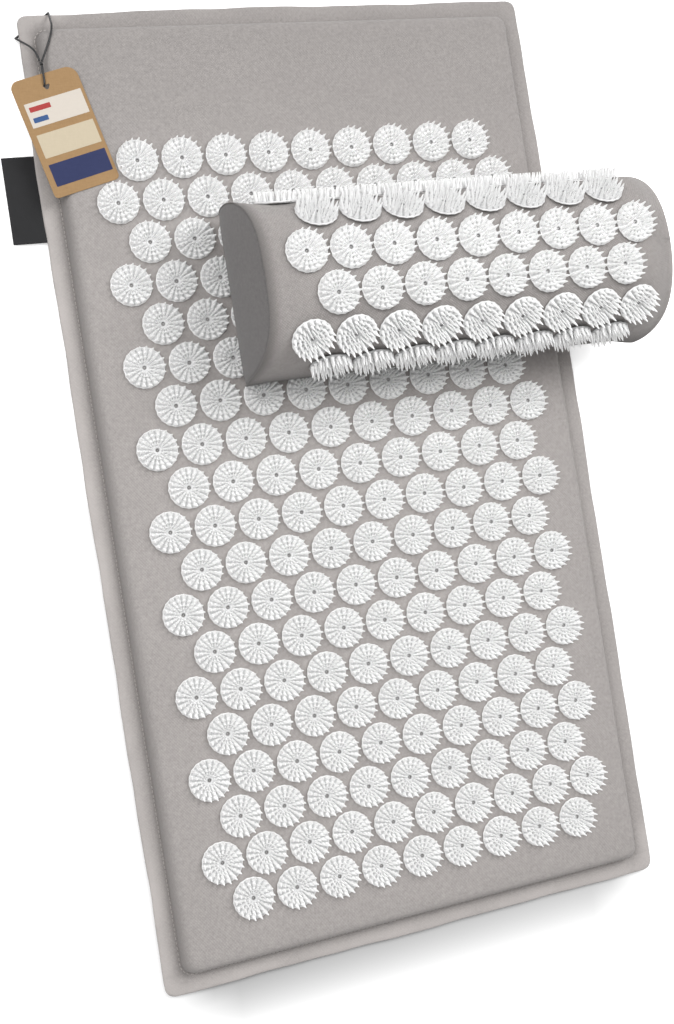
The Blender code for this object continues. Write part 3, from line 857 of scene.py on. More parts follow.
def edge_sway(points):
    """How far the sewn edge lies out and wanders in and out along its length, as (x, y)."""
    sway = np.zeros((len(points), 2))
    free = off_cord(points)
    x, y = points[:, 0], points[:, 1]
    left, right, head, foot = [
        smoothstep(1 - (half - run) / crease_inset) for half, run in
        ((mat_half_x, -x), (mat_half_x, x), (mat_half_y, y), (mat_half_y, -y))]
    sway[:, 0] += flange_growth["right"] * right - flange_growth["left"] * left * free
    sway[:, 1] += flange_growth["head"] * head * free - flange_growth["foot"] * foot
    sway[:, 1] -= foot_growth * smoothstep(
        (foot_growth_reach[0] - mat_half_y - y) / foot_growth_reach[1])
    for axis, half in ((0, mat_half_x), (1, mat_half_y)):
        loose = smoothstep(1 - (half - np.abs(points[:, axis])) / crease_inset)
        run = points[:, 1 - axis] * math.tau
        wander = sum(share * np.sin(run / length + phase + axis * shift)
                     for share, length, phase, shift in edge_waves)
        sway[:, axis] += np.sign(points[:, axis]) * loose * edge_wander * wander
    return sway


# How far in from the mat's edge a side reaches, and over what width it fades
side_reach = 0.045
side_fade = 0.02


def low_sides(points):
    """1 along the mat's left edge and 1 along its foot edge, each 0 elsewhere."""
    return [smoothstep((side_reach - half - points[:, axis]) / side_fade)
            for axis, half in ((0, mat_half_x), (1, mat_half_y))]


def nearest_point(points, others):
    """How far each point is from the nearest of the others."""
    near = np.full(len(points), 1.0)
    for centre in others:
        near = np.minimum(near, np.hypot(points[:, 0] - centre[0], points[:, 1] - centre[1]))
    return near


pucker_pitch = 0.0105
pucker_height = 0.00022
# They rise and fade out at these distances in from the edge: start and width of each
pucker_rise = (0.0132, 0.003)
pucker_fall = (0.021, 0.012)


def puckers(points, inset):
    """Short slanting gathers along the seam, on the pad's rounded side."""
    side = np.abs(points[:, 0]) > mat_half_x - 0.035
    run = np.where(side, points[:, 1], points[:, 0])
    phase = (run + 0.5 * inset) * math.tau / pucker_pitch
    strength = smoothstep((inset - pucker_rise[0]) / pucker_rise[1]) \
        * (1 - smoothstep((inset - pucker_fall[0]) / pucker_fall[1]))
    patch = 0.35 + 0.65 * smoothstep(ripple_field(points[:, :2], 0.09, 21) + 0.5)
    wave = np.sin(phase + 1.5 * ripple_field(points[:, :2], 0.05, 22))
    return pucker_height * strength * patch * wave


# Width, start, end and height of each ridge that a fold left
fold_width = 0.0035
fold_runs = [((0.150, 0.330), (0.196, 0.285), 0.0005), ((0.186, -0.02), (0.182, -0.26), 0.0004)]


def fold_lines(points):
    """Two faint ridges where the cover was folded, near the mat's right edge."""
    height = np.zeros(len(points))
    for start, end, rise in fold_runs:
        start, end = np.array(start), np.array(end)
        along = end - start
        share = np.clip(((points[:, :2] - start) @ along) / (along @ along), 0, 1)
        away = np.linalg.norm(points[:, :2] - start - share[:, None] * along, axis=1)
        fade = smoothstep(share / 0.25) * smoothstep((1 - share) / 0.25)
        height += rise * fade * np.exp(-(away / fold_width) ** 2)
    return height


# How far in from the edge the cloth runs round the pad's side
pad_round = 0.04
# Between the discs the cover swells, and it is a little uneven
mat_puff = 0.0009
mat_unevenness = 0.00035
# Under the tag it lies flat, this far round the knot, and then swells over this width
tag_room = 0.105
tag_room_fade = 0.03
# Where the painted shade along the crease lies in from the edge, its width, and its strength on
# the two edges that are rubbed least
crease_shade_inset = 0.0133
crease_shade_width = 0.0014
crease_shade_strength = 0.28


def add_mat_cover(material, centres):
    """The top panel: swelling between the discs, gathered at its seam, with a loose flange."""
    band = top_band()
    points, inset, rows, columns = rounded_sheet(mat_half_x, mat_half_y, band, mat_step)
    near = nearest_point(points, centres)
    top = smoothstep((inset - crease_inset) / 0.016)
    under_tag = np.hypot(points[:, 0] - knot_centre.x, points[:, 1] - knot_centre.y)
    still = smoothstep((under_tag - tag_room) / tag_room_fade)
    puff = mat_puff * smoothstep((near - 0.0150) / 0.012)
    soft = mat_unevenness * ripple_field(points[:, :2], 0.07, 31) \
        * smoothstep((near - 0.016) / 0.02)
    points[:, 2] += top * still * (puff + soft)
    points[:, 2] += puckers(points, inset) + fold_lines(points) * still
    points[:, 2] += flange_wave(points, inset)
    # A shallow groove in the right wall, where the zip sits.
    groove = (np.abs(points[:, 2] - mat_zip_height) < sum(zip_groove_levels[-2:]) / 2) \
        & (points[:, 0] > pad_half_x - 0.006) & (np.abs(points[:, 1]) < mat_zip_half_length)
    points[groove, 0] -= zip_groove_depth
    laid = [points[:, axis] - np.clip(points[:, axis] / (half - pad_round), -1, 1)
            * cloth_run(half - np.abs(points[:, axis]), band)
            for axis, half in ((0, mat_half_x), (1, mat_half_y))]
    uv = np.stack((*laid, np.zeros(len(points))), 1)
    # The left and foot edges are rubbed palest and have the darkest painted shade along the
    # crease.
    left, foot = low_sides(points)
    wear = 0.85 * (1 - smoothstep((inset - 0.002) / 0.0105)) * (0.3 + 0.7 * np.maximum(left, foot))
    side = np.maximum(foot, 0.8 * left)
    painted_shade = np.exp(-((inset - crease_shade_inset) / (crease_shade_width * (1 + side))) ** 2) \
        * crease_shade_strength * (1 + 1.5 * side)
    points[:, :2] += edge_sway(points)
    return add_piece("mat_top_cloth", points, grid_faces(rows, columns), material, "mat",
                     ["mat_top_cover"],
                     {"cloth_uv": uv, "wear": wear, "painted_shade": painted_shade})


def add_mat_base(material):
    """The base panel with its half of the flange."""
    points, inset, rows, columns = rounded_sheet(mat_half_x, mat_half_y, base_line, 2 * mat_step)
    points[:, 2] += flange_wave(points, inset)
    faces = [face[::-1] for face in grid_faces(rows, columns)]
    wear = 0.5 * (1 - smoothstep(inset / 0.011))
    # Painted shade along the crease where the pad meets the flange.
    painted_shade = 0.5 * np.exp(-((inset - 0.0131) / 0.0013) ** 2)
    points[:, :2] += edge_sway(points)
    uv = points * np.array((1, 1, 0))
    return add_piece("mat_base_cloth", points, faces, material, "mat",
                     ["mat_base_cover"], {"cloth_uv": uv, "wear": wear, "painted_shade": painted_shade})


def ring_path(inset, spacing):
    """Points and directions at even steps round the mat, a distance inside its edge."""
    radius = float(corner_radius_at(inset))
    outline = rounded_outline(mat_half_x - inset, mat_half_y - inset, (radius,) * 4)
    outline = np.vstack((outline, outline[:1]))
    lengths = line_lengths(outline)
    count = round(lengths[-1] / spacing)
    run = (np.arange(count) + 0.5) * lengths[-1] / count
    places = line_at(outline, lengths, run)
    return places, line_at(outline, lengths, run + 0.0005) - places


stitch_pitch = 0.0034
stitch_length = 0.0025
stitch_radius = 0.00034
stitch_inset = 0.0117
# How far along each ring of a stitch lies, how high, and how thick it is
stitch_rings = [(-0.5, -0.7, 0.5), (-0.36, 0.15, 1.0), (0, 0.55, 1.05), (0.36, 0.15, 1.0),
                (0.5, -0.7, 0.5)]
tube_sides = 6
# Insets of the rings round the foam's pressed edge, the last where it is flat, and its grid step
foam_edge_insets = (0, 0.0006, 0.0022, 0.0048, 0.0085)
foam_step = 0.012


def stitch(centre, along, up):
    """One stitch: a short thread that rises from its holes and dives back."""
    along = along / np.linalg.norm(along)
    across = np.cross(up, along)
    points = []
    for share, rise, size in stitch_rings:
        for lap_across, lap_up in circle(tube_sides) * size:
            points.append(centre + along * share * stitch_length + stitch_radius * (
                up * (rise + lap_up) + across * lap_across))
    return points, tube_faces(len(stitch_rings), tube_sides)


def add_mat_stitches(material):
    """The line of stitches round the flange, over and under it."""
    places, directions = ring_path(stitch_inset, stitch_pitch)
    spots = np.c_[places, np.zeros(len(places))]
    lift = flange_wave(spots, np.full(len(places), stitch_inset))
    places = places + edge_sway(spots)
    for name, line, side in (("mat_top_stitches", flange_top_line, 1),
                             ("mat_base_stitches", base_line, -1)):
        level = np.interp(stitch_inset, *np.array(line).T)
        up = np.array((0.0, 0.0, float(side)))
        parts = []
        for place, direction, rise in zip(places, directions, lift):
            centre = np.array((place[0], place[1], level + rise))
            parts.append(stitch(centre, np.array((*direction, 0.0)), up))
        points, faces = join_parts(parts)
        add_piece(name, points, faces, material, "mat")


def add_mat_foam(material):
    """The slab inside the cover, its edges softly pressed."""
    low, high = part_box("mat_core")
    middle, rise = (low.z + high.z) / 2, (high.z - low.z) / 2
    flat = foam_edge_insets[-1]
    parts = []
    for side in (1, -1):
        band = [(inset, middle + side * rise * math.sqrt(1 - (1 - inset / flat) ** 2))
                for inset in foam_edge_insets]
        points, _, rows, columns = rounded_sheet(high.x, high.y, band, foam_step)
        faces = grid_faces(rows, columns)
        parts.append((points, faces if side > 0 else [face[::-1] for face in faces]))
    points, faces = join_parts(parts)
    return add_piece("mat_foam", points, faces, material, "mat", ["mat_core"])


# Pillow: cover, ends and filling

pillow_step = 0.003
seam_inset = 0.0009
# Between the discs the cover swells, and it is a little uneven
pillow_puff = 0.0008
pillow_unevenness = 0.0004
# Each end's own section: roundness, half depth, height and shift along Y
end_sections = {-1: (3.2, 0.0672, 0.0876, 0.0013), 1: (2.10, 0.0692, 0.0836, 0.0012)}
end_section_reach = 0.027
# The left end bulges out at half height and leans in at its top; the right top leans in
left_bulge = 0.0246
left_lean = 0.0273
right_lean = 0.0046
lean_height = 0.090
end_shift_reach = 0.035
# How far in from an end or from a foot the cloth lies still
pillow_still_reach = 0.02
# Distances in from an end of the first columns of the top panel, and where even steps begin
end_columns = (0, 0.0004, 0.0010, 0.0020, 0.0035, 0.0055, 0.0080)
even_columns_from = 0.0110


def end_nearness(x, reach):
    """1 at the pillow's ends, falling to 0 at a distance in from them."""
    return 1 - np.clip((pillow_half_length - np.abs(x)) / reach, 0, 1)


def seam_roll(x):
    """How much the cloth dips right beside the seam of an end."""
    return seam_inset * end_nearness(x, 0.0012) ** 2


def end_shift(x, z):
    """How far the cloth near an end is moved along X at a height over the pillow's base."""
    share = np.clip(z / lean_height, 0, 1)
    left = -left_bulge * share + left_lean * share ** 2
    right = -right_lean * np.clip(2 * z / end_sections[1][2] - 1, 0, 1) ** 2
    return smoothstep(end_nearness(x, end_shift_reach)) * np.where(np.asarray(x) < 0, left, right)


def end_formed(x, y, z, weight=None):
    """Points of the middle's section carried over into the section of their own end."""
    half_depth, roundness = pillow_depth / 2, pillow_roundness
    if weight is None:
        nearness = end_nearness(x, end_section_reach)
        weight = np.where(np.asarray(x) < 0, nearness ** 2, smoothstep(nearness))
    across, up = np.abs(y) / half_depth, np.maximum(z, 0) / pillow_height
    size = np.maximum((across ** roundness + up ** roundness) ** (1 / roundness), 0.000001)
    part = np.clip((across / size) ** roundness, 0, 1)
    for side, (own_roundness, own_half, own_height, shift) in end_sections.items():
        own_y = np.sign(y) * size * own_half * part ** (1 / own_roundness) + shift
        own_z = size * own_height * (1 - part) ** (1 / own_roundness)
        here = weight * (np.asarray(x) * side > 0)
        y, z = y + here * (own_y - y), z + here * (own_z - z)
    return y, z


# How dark the painted shade is where the cloth rolls in to the left seam and low on the front
# side, and how far it reaches
left_roll_shade = 0.85
left_roll_reach = 0.011
front_foot_shade = 1.0
front_foot_height = 0.052


def add_pillow_top(material):
    """The crowned panel from the rear foot over the top to the front foot."""
    end = pillow_half_length - 0.0002
    fine = np.array(end_columns)
    even = end - even_columns_from
    middle = np.linspace(-even, even, int(2 * even / pillow_step) + 1)
    xs = np.concatenate((-end + fine, middle, end - fine[::-1]))
    foot = np.interp(0.0006, section_curve[:40, 1], section_run[:40])
    count = int((section_run[-1] - 2 * foot) / pillow_step)
    runs = np.linspace(foot, section_run[-1] - foot, count + 1)
    section, normals = section_at(runs)
    columns = len(runs)
    grid_run, grid_x = np.meshgrid(runs, xs)
    section = np.broadcast_to(section, (len(xs), columns, 2)).reshape(-1, 2)
    normals = np.broadcast_to(normals, (len(xs), columns, 2)).reshape(-1, 2)
    x, run = grid_x.ravel(), grid_run.ravel()
    laid = np.stack((x, run), 1)
    near = nearest_point(laid, [(spot_x, spot_run) for _, spot_x, spot_run in pillow_disc_spots()])
    off_end = smoothstep((pillow_half_length - np.abs(x)) / pillow_still_reach)
    off_foot = smoothstep(np.minimum(run, section_run[-1] - run) / pillow_still_reach)
    puff = pillow_puff * smoothstep((near - 0.0152) / 0.010)
    soft = pillow_unevenness * ripple_field(laid, 0.06, 41) * smoothstep((near - 0.016) / 0.015)
    reach = (puff + soft) * off_end * off_foot - seam_roll(x)
    y = section[:, 0] + normals[:, 0] * reach
    z = section[:, 1] + normals[:, 1] * reach
    y, z = end_formed(x, y, z)
    z = np.maximum(z, 0.0004)
    points = np.stack((x + end_shift(x, z), y, z), 1) + np.array(pillow_origin)
    uv = np.stack((x, run, np.zeros(len(x))), 1)
    wear = 0.35 * (1 - smoothstep((pillow_half_length - np.abs(x)) / 0.006))
    # Painted shade: along both seams, where the cloth rolls in to the left seam, and low on the
    # front side.
    painted_shade = 0.5 * (1 - smoothstep((pillow_half_length - np.abs(x)) / 0.0012))
    left_seam_shade = left_roll_shade * (1 - smoothstep((pillow_half_length + x) / left_roll_reach))
    under = front_foot_shade * smoothstep((front_foot_height - z) / front_foot_height) \
        * (section[:, 0] < 0)
    painted_shade = np.maximum(painted_shade, np.maximum(left_seam_shade, under))
    return add_piece("pillow_top_cloth", points, grid_faces(len(xs), columns), material,
                     "pillow", ["pillow_top_cover"],
                     {"cloth_uv": uv, "wear": wear, "painted_shade": painted_shade})


# Columns of an end panel from its middle to its seam, closer together at the seam
end_column_shares = (0.0, 0.1, 0.2, 0.3, 0.4, 0.5, 0.58, 0.66, 0.73, 0.79, 0.84, 0.88, 0.915,
                     0.945, 0.965, 0.98, 0.992, 1.0)
# How far an end panel swells and within what distance of its seam, and the dip at the seam
end_swell = 0.0016
end_swell_reach = 0.018
end_dip = 0.0006
end_dip_reach = 0.0016
end_foot = 0.0010
# The base panel's turned-up edge: (inset, z)
pillow_base_line = [(0.0, 0.0013), (0.0003, 0.0007), (0.0010, 0.0003), (0.0022, 0.0001),
                    (0.006, 0.0)]
pillow_base_step = 0.005
# The filling lies this far inside the covers, and is made of this many rings and steps
filling_inset = 0.0022
filling_end_inset = 0.0045
filling_rings = 60
filling_steps = 48


def add_pillow_end(name, side, node, material):
    """A D-shaped panel sewn in at the seam, swelling softly, with a groove for the zip."""
    half_depth, height = pillow_depth / 2 - seam_inset, pillow_height - seam_inset
    slot = zip_groove_half_height
    angles = np.linspace(0, math.pi / 2 - 0.004, 46)[1:]
    levels = [level for level in height * np.sin(angles) ** (2 / pillow_roundness)
              if level > 1.5 * end_foot and abs(level - pillow_zip_height) > slot + 0.0012]
    levels += [end_foot] + [pillow_zip_height + level for level in zip_groove_levels]
    levels = np.array(sorted(levels))
    widths = half_depth * (1 - (levels / height) ** pillow_roundness) ** (1 / pillow_roundness)
    shares = np.array([-share for share in end_column_shares[:0:-1]] + list(end_column_shares))
    y = (widths[:, None] * shares[None, :]).ravel()
    z = np.repeat(levels, len(shares))
    outline = d_section(400) * np.array((half_depth / (pillow_depth / 2), height / pillow_height))
    seam = np.minimum(nearest_point(np.stack((y, z), 1), outline),
                      np.maximum(z - end_foot, 0))
    swell = end_swell * (1 - np.exp(-seam / end_swell_reach)) \
        - end_dip * (1 - smoothstep(seam / end_dip_reach))
    if side > 0:
        off_zip = np.hypot(np.maximum(np.abs(y) - pillow_zip_half_length, 0),
                           np.maximum(np.abs(z - pillow_zip_height) - slot, 0))
        swell = np.where(swell > 0, swell * smoothstep(off_zip / 0.022), swell)
        swell -= zip_groove_depth * (off_zip < 0.0001)
    x = np.full(len(y), side * (pillow_half_length - 0.0004))
    size = ((np.abs(y) / half_depth) ** pillow_roundness
            + (z / height) ** pillow_roundness) ** (1 / pillow_roundness)
    weight = 1.0 if side < 0 else smoothstep((size - 0.78) / 0.2)
    y, z = end_formed(x, y, z, weight)
    points = np.stack((x + side * swell + end_shift(x, z), y, z), 1) + np.array(pillow_origin)
    faces = grid_faces(len(levels), len(shares))
    if side < 0:
        faces = [face[::-1] for face in faces]
    uv = np.stack((y, z, np.zeros(len(y))), 1)
    # Painted shade at the seam.
    painted_shade = 0.5 * (1 - smoothstep(seam / 0.0014))
    return add_piece(name, points, faces, material, "pillow", [node],
                     {"cloth_uv": uv, "wear": np.zeros(len(y)), "painted_shade": painted_shade})


def add_pillow_base(material):
    """The flat panel that rests on the spikes, its edges turned up to the seam."""
    points, inset, rows, columns = rounded_sheet(pillow_half_length, pillow_depth / 2,
                                                 pillow_base_line, pillow_base_step)
    points[:, 1], points[:, 2] = end_formed(*points.T)
    points[:, 0] += end_shift(points[:, 0], points[:, 2])
    points = points + np.array(pillow_origin)
    faces = [face[::-1] for face in grid_faces(rows, columns)]
    uv = points * np.array((1, 1, 0))
    wear = np.zeros(len(points))
    # Painted shade along the turned-up edge at the seam.
    painted_shade = 0.5 * (1 - smoothstep(inset / 0.0012))
    return add_piece("pillow_base_cloth", points, faces, material, "pillow",
                     ["pillow_base_cover"], {"cloth_uv": uv, "wear": wear, "painted_shade": painted_shade})


def add_pillow_foam(material):
    """The filling, which follows the covers from one end to the other."""
    section = d_section(filling_steps, filling_inset)
    count = len(section)
    end = pillow_half_length - filling_end_inset
    x = np.repeat(np.linspace(-end, end, filling_rings), count)
    y, z = end_formed(x, *np.tile(section, (filling_rings, 1)).T)
    points = np.stack((x + end_shift(x, z), y, np.maximum(z, filling_inset)), 1) \
        + np.array(pillow_origin)
    faces = grid_faces(filling_rings, count, closed=True)
    faces.append(tuple(range(count)))
    faces.append(tuple(range((filling_rings - 1) * count, filling_rings * count))[::-1])
    return add_piece("pillow_foam", points, faces, material, "pillow",
                     ["pillow_filling"])


# Side label

label_thickness = 0.00026
# How much further out the soft label's fold lies than the frame's
label_growth = 0.0045
# How far its outer edge sways up and how far it leans to the left towards the mat's foot
label_sway = 0.0005
label_tilt = 0.0006
# Half the room between its two leaves: at the seam, and at distances in from the fold
label_seam_room = 0.000165
label_leaf = [(0.022, 0.00018), (0.014, 0.00024), (0.006, 0.00027), (0.0012, 0.000225),
              (0.0003, 0.000135), (0.0, 0.0)]


def add_side_label(material):
    """A ribbon folded in two, its fold outside and its two ends sewn into the left seam."""
    low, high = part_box("side_label")
    low.x -= label_growth
    middle = (low.z + high.z) / 2
    leaf = [(high.x, label_seam_room)] + [(low.x + inner, room) for inner, room in label_leaf]
    line = leaf + [(x, -z) for x, z in leaf[-2::-1]]
    runs = line_lengths(np.array(line))
    ys = np.concatenate(([low.y, low.y + 0.0006], np.linspace(low.y + 0.003, high.y - 0.003, 16),
                         [high.y - 0.0006, high.y]))
    points, uv = [], []
    for y in ys:
        share = (y - low.y) / (high.y - low.y)
        for (x, z), run in zip(line, runs):
            out = (high.x - x) / (high.x - low.x)
            sway = label_sway * out ** 2 * math.sin(3.0 * share + 0.4)
            tilt = label_tilt * out * (share - 0.5)
            points.append((x + tilt, y, middle + z + sway))
            uv.append((y, run, 0))
    faces = grid_faces(len(ys), len(line))
    label = add_piece("side_label_ribbon", points, faces, material, "mat",
                      ["side_label"], {"cloth_uv": uv})
    thicken(label, label_thickness, 0.0)
    return label


# Hang tag and its cord

tag_width = 0.052
tag_length = 0.090
tag_thickness = 0.0006
tag_turn_degrees = 14.0
tag_centre = (-0.1892, 0.2774)
# Room under the card's top end for the cord's lower strand
tag_strand_room = 0.0022
tag_hole_radius = 0.0026
tag_hole_inset = 0.0095
tag_corner_radii = (0.0085, 0.0065, 0.0030, 0.0035)
tag_edge_bevel = 0.0001
sticker_thickness = 0.00010
sticker_corner_radius = 0.0004
sticker_edge_bevel = 0.00003
# Name, low and high corner and layer of each plain area
sticker_areas = [
    ("tag_area_white", (-0.0215, 0.0085), (0.0235, 0.0270), 0),
    ("tag_bar_red", (-0.0190, 0.0200), (-0.0025, 0.0238), 1),
    ("tag_bar_blue", (-0.0190, 0.0118), (-0.0075, 0.0156), 1),
    ("tag_area_cream", (-0.0215, -0.0150), (0.0235, 0.0030), 0),
    ("tag_area_navy", (-0.0215, -0.0370), (0.0235, -0.0200), 0),
]


def tag_place():
    """The lie of the card, which leans a little on the cord's lower strand at its top."""
    lean = math.asin(tag_strand_room / tag_length)
    centre = (*tag_centre, pad_top + surface_gap + tag_strand_room / 2)
    return (Matrix.Translation(centre) @ Matrix.Rotation(math.radians(tag_turn_degrees), 4, "Z")
            @ Matrix.Rotation(lean, 4, "X"))


def rounded_outline(half_x, half_y, radii, segments=8):
    """An outline whose corners have their own radii, from the one at +x +y against the clock."""
    outline = []
    for (side_x, side_y, start), radius in zip(
            [(1, 1, 0), (-1, 1, 90), (-1, -1, 180), (1, -1, 270)], radii):
        for step in range(segments + 1):
            angle = math.radians(start + 90 * step / segments)
            outline.append((side_x * (half_x - radius) + radius * math.cos(angle),
                            side_y * (half_y - radius) + radius * math.sin(angle)))
    return np.array(outline)


def tag_sheet(outline, centre, bottom, top, bevel, place, hole=None):
    """A thin plate with softened edges; a hole splits it into a ring of faces."""
    out = outline - centre
    inner = centre + out * (1 - bevel / np.linalg.norm(out, axis=1, keepdims=True))
    rings = [(inner, bottom), (outline, bottom + bevel / 2), (outline, top - bevel / 2),
             (inner, top)]
    faces = tube_faces(len(rings), len(outline))
    if hole is not None:
        angles = np.arctan2(*(outline - hole).T[::-1])
        edge = hole + tag_hole_radius * np.stack((np.cos(angles), np.sin(angles)), 1)
        rings = [(edge, bottom)] + rings + [(edge, top), (edge, bottom)]
        faces = grid_faces(len(rings), len(outline), closed=True)
    return [tuple(place @ Vector((x, y, z))) for ring, z in rings for x, y in ring], faces


def add_tag(card_material, stickers):
    """The card with its hole, and the plain areas stuck on it."""
    place = tag_place()
    outline = rounded_outline(tag_width / 2, tag_length / 2, tag_corner_radii)
    hole = np.array((0, tag_length / 2 - tag_hole_inset))
    points, faces = tag_sheet(outline, np.zeros(2), 0, tag_thickness, tag_edge_bevel, place,
                              hole)
    add_piece("tag_kraft_card", points, faces, card_material, "tag", ["tag_card"],
              smooth=False)
    for name, low, high, lift, material in stickers:
        centre = (np.array(low) + np.array(high)) / 2
        shape = centre + rounded_outline(*(np.array(high) - centre),
                                         (sticker_corner_radius,) * 4, 3)
        bottom = tag_thickness + lift * sticker_thickness
        points, faces = tag_sheet(shape, centre, bottom, bottom + sticker_thickness,
                                  sticker_edge_bevel, place)
        add_piece(name, points, faces, material, "tag", smooth=False)


def sticker_list():
    """Plain stuck-on areas in the tag's own frame: name, low and high corner, layer, paper."""
    looks = (("paper_white", paper_white, 0.02, 0.6), ("print_red", print_red, 0.05, 0.6),
             ("print_blue", print_blue, 0.05, 0.6), ("paper_cream", paper_cream, 0.03, 0.7),
             ("paper_navy", paper_navy, 0.06, 0.55))
    return [(*area, paper_material(*look)) for area, look in zip(sticker_areas, looks)]


def add_cord_pieces(material):
    """The loop over the mat's corner, the knot, and the doubled strand to the tag's hole."""
    loop = add_cord("tag_loop", cord_loop_route, "mat", "tag_cord_loop", material)
    strand = add_cord("tag_strand", cord_tail_route, "tag", "tag_cord_tail", material)
    knot = add_knot(material)


def add_knot(material):
    """A pulled-tight overhand knot: three wraps of the cord about its middle."""
    count, sides = 16, 8
    parts = []
    for turn, (tilt, size) in enumerate(knot_wraps):
        basis = Matrix.Rotation(tilt, 3, "Z") @ Matrix.Rotation(math.radians(90), 3, "Y") \
            @ Matrix.Rotation(0.35 * (turn - 1), 3, "X")
        ring = []
        for out_x, out_y in circle(count):
            for lap_out, lap_up in circle(sides) * knot_strand_radius:
                point = Vector((out_x * (size + lap_out), out_y * (size + lap_out), lap_up))
                ring.append(tuple(knot_centre + basis @ point))
        faces = [tuple(index % len(ring) for index in face)
                 for face in grid_faces(count + 1, sides, closed=True)]
        parts.append((ring, faces))
    points, faces = join_parts(parts)
    return add_piece("tag_knot", points, faces, material, "mat", ["tag_cord_knot"])


# Zips

zip_tooth_pitch = 0.0014
zip_tooth_radius = 0.0005
zip_tooth_shift = 0.00035
# Place across the zip, height and thickness of each ring of a coil turn
zip_tooth_rings = [(-0.0016, -0.0006, 0.3), (-0.0012, 0.0, 0.9), (0, 0.00018, 1.0),
                   (0.0012, 0.0, 0.9), (0.0016, -0.0006, 0.3)]
# The tape's section: place across the zip and height
zip_tape_line = [(-0.0040, -0.0008), (-0.0018, -0.0006), (0.0018, -0.0006), (0.0040, -0.0008)]
zip_tape_thickness = 0.0004
zip_tape_step = 0.004
# How much shorter the row of teeth is than the tape
zip_teeth_shortfall = 0.002


def zip_teeth_parts(length):
    """Interlocked coil turns along X, alternating up and down, standing proud towards +Y."""
    parts = []
    count = int(length / zip_tooth_pitch)
    for index in range(count):
        middle = (index - (count - 1) / 2) * zip_tooth_pitch
        shift = zip_tooth_shift if index % 2 else -zip_tooth_shift
        points = []
        for z, y, size in zip_tooth_rings:
            for lap_x, lap_y in circle(tube_sides) * size * zip_tooth_radius:
                points.append((middle + lap_x, y + lap_y, z + shift))
        parts.append((points, tube_faces(len(zip_tooth_rings), tube_sides)))
    return parts


def add_zip(name, half_length, middle, tape_material, coil_material):
    """Tape and coil in a frame with X along the zip and +Y out of the cover to the right."""
    place = Matrix.Translation(middle) @ Matrix.Rotation(math.radians(-90), 4, "Z")
    length = 2 * half_length
    xs = np.linspace(-half_length, half_length, int(length / zip_tape_step) + 1)
    points = [tuple(place @ Vector((x, y, z))) for x in xs for z, y in zip_tape_line]
    uv = [(x, z, 0) for x in xs for z, _ in zip_tape_line]
    tape = add_piece(name + "_zip_ribbon", points, grid_faces(len(xs), len(zip_tape_line)),
                     tape_material, name, [name + "_zip_tape"], {"cloth_uv": uv})
    thicken(tape, zip_tape_thickness, 0.0)
    points, faces = join_parts(zip_teeth_parts(length - zip_teeth_shortfall))
    add_piece(name + "_zip_coil", [tuple(place @ Vector(point)) for point in points], faces,
              coil_material, name, [name + "_zip_teeth"])


def add_zips(tape_material, coil_material, metal):
    """Both zips. Their sliders and pulls are the frame's own, in nickel."""
    add_zip("mat", mat_zip_half_length, Vector((pad_half_x, 0, mat_zip_height)), tape_material,
            coil_material)
    pillow_middle = pillow_origin + Vector((pillow_half_length, 0, pillow_zip_height))
    add_zip("pillow", pillow_zip_half_length, pillow_middle, tape_material, coil_material)
    for node in ("mat_zip_slider", "mat_zip_pull", "pillow_zip_slider", "pillow_zip_pull"):
        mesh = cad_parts[node].data
        mesh.materials.clear()
        mesh.materials.append(metal)


# Floor, lights and world

world_fill = 0.475
key_power = 51.0
key_size = 1.6
key_place = (1.50, 1.05, 2.40)
side_power = 30.0
side_size = 1.6
side_place = (-1.15, 0.45, 1.95)
lamp_target = (0.0, -0.05, 0.0)
floor_colour = (0.93, 0.93, 0.93)
# Light that the camera sees added to the floor right beside the mat and further off
floor_lift_near = 0.34
floor_lift_far = 0.85
lift_reach = (0.0, 0.05)
# The soft shadow below the foot edge: how far it reaches out, and its tone at the left and right
foot_shadow_reach = 0.078
foot_shadow_tones = (0.36, 0.55)
# Where it fades out at the sides, past the mat's own side and inside it: right below the edge,
# and once it has spread out
foot_shadow_sides = ((0.010, -0.035), (0.040, -0.055))
foot_shadow_spread = 0.02
# How steeply the added light goes down in that shadow
lift_power = 1.5
# Half the floor's width, and its level under the mat
floor_half = 6.0
floor_level = -0.0002


def add_light(name, place, size, power):
    data = bpy.data.lights.new(name, "AREA")
    data.shape = "DISK"
    data.size = size
    data.energy = power
    light = add_object(name, data)
    light.location = place
    aim = Vector(lamp_target) - light.location
    light.rotation_euler = aim.to_track_quat("-Z", "Y").to_euler()


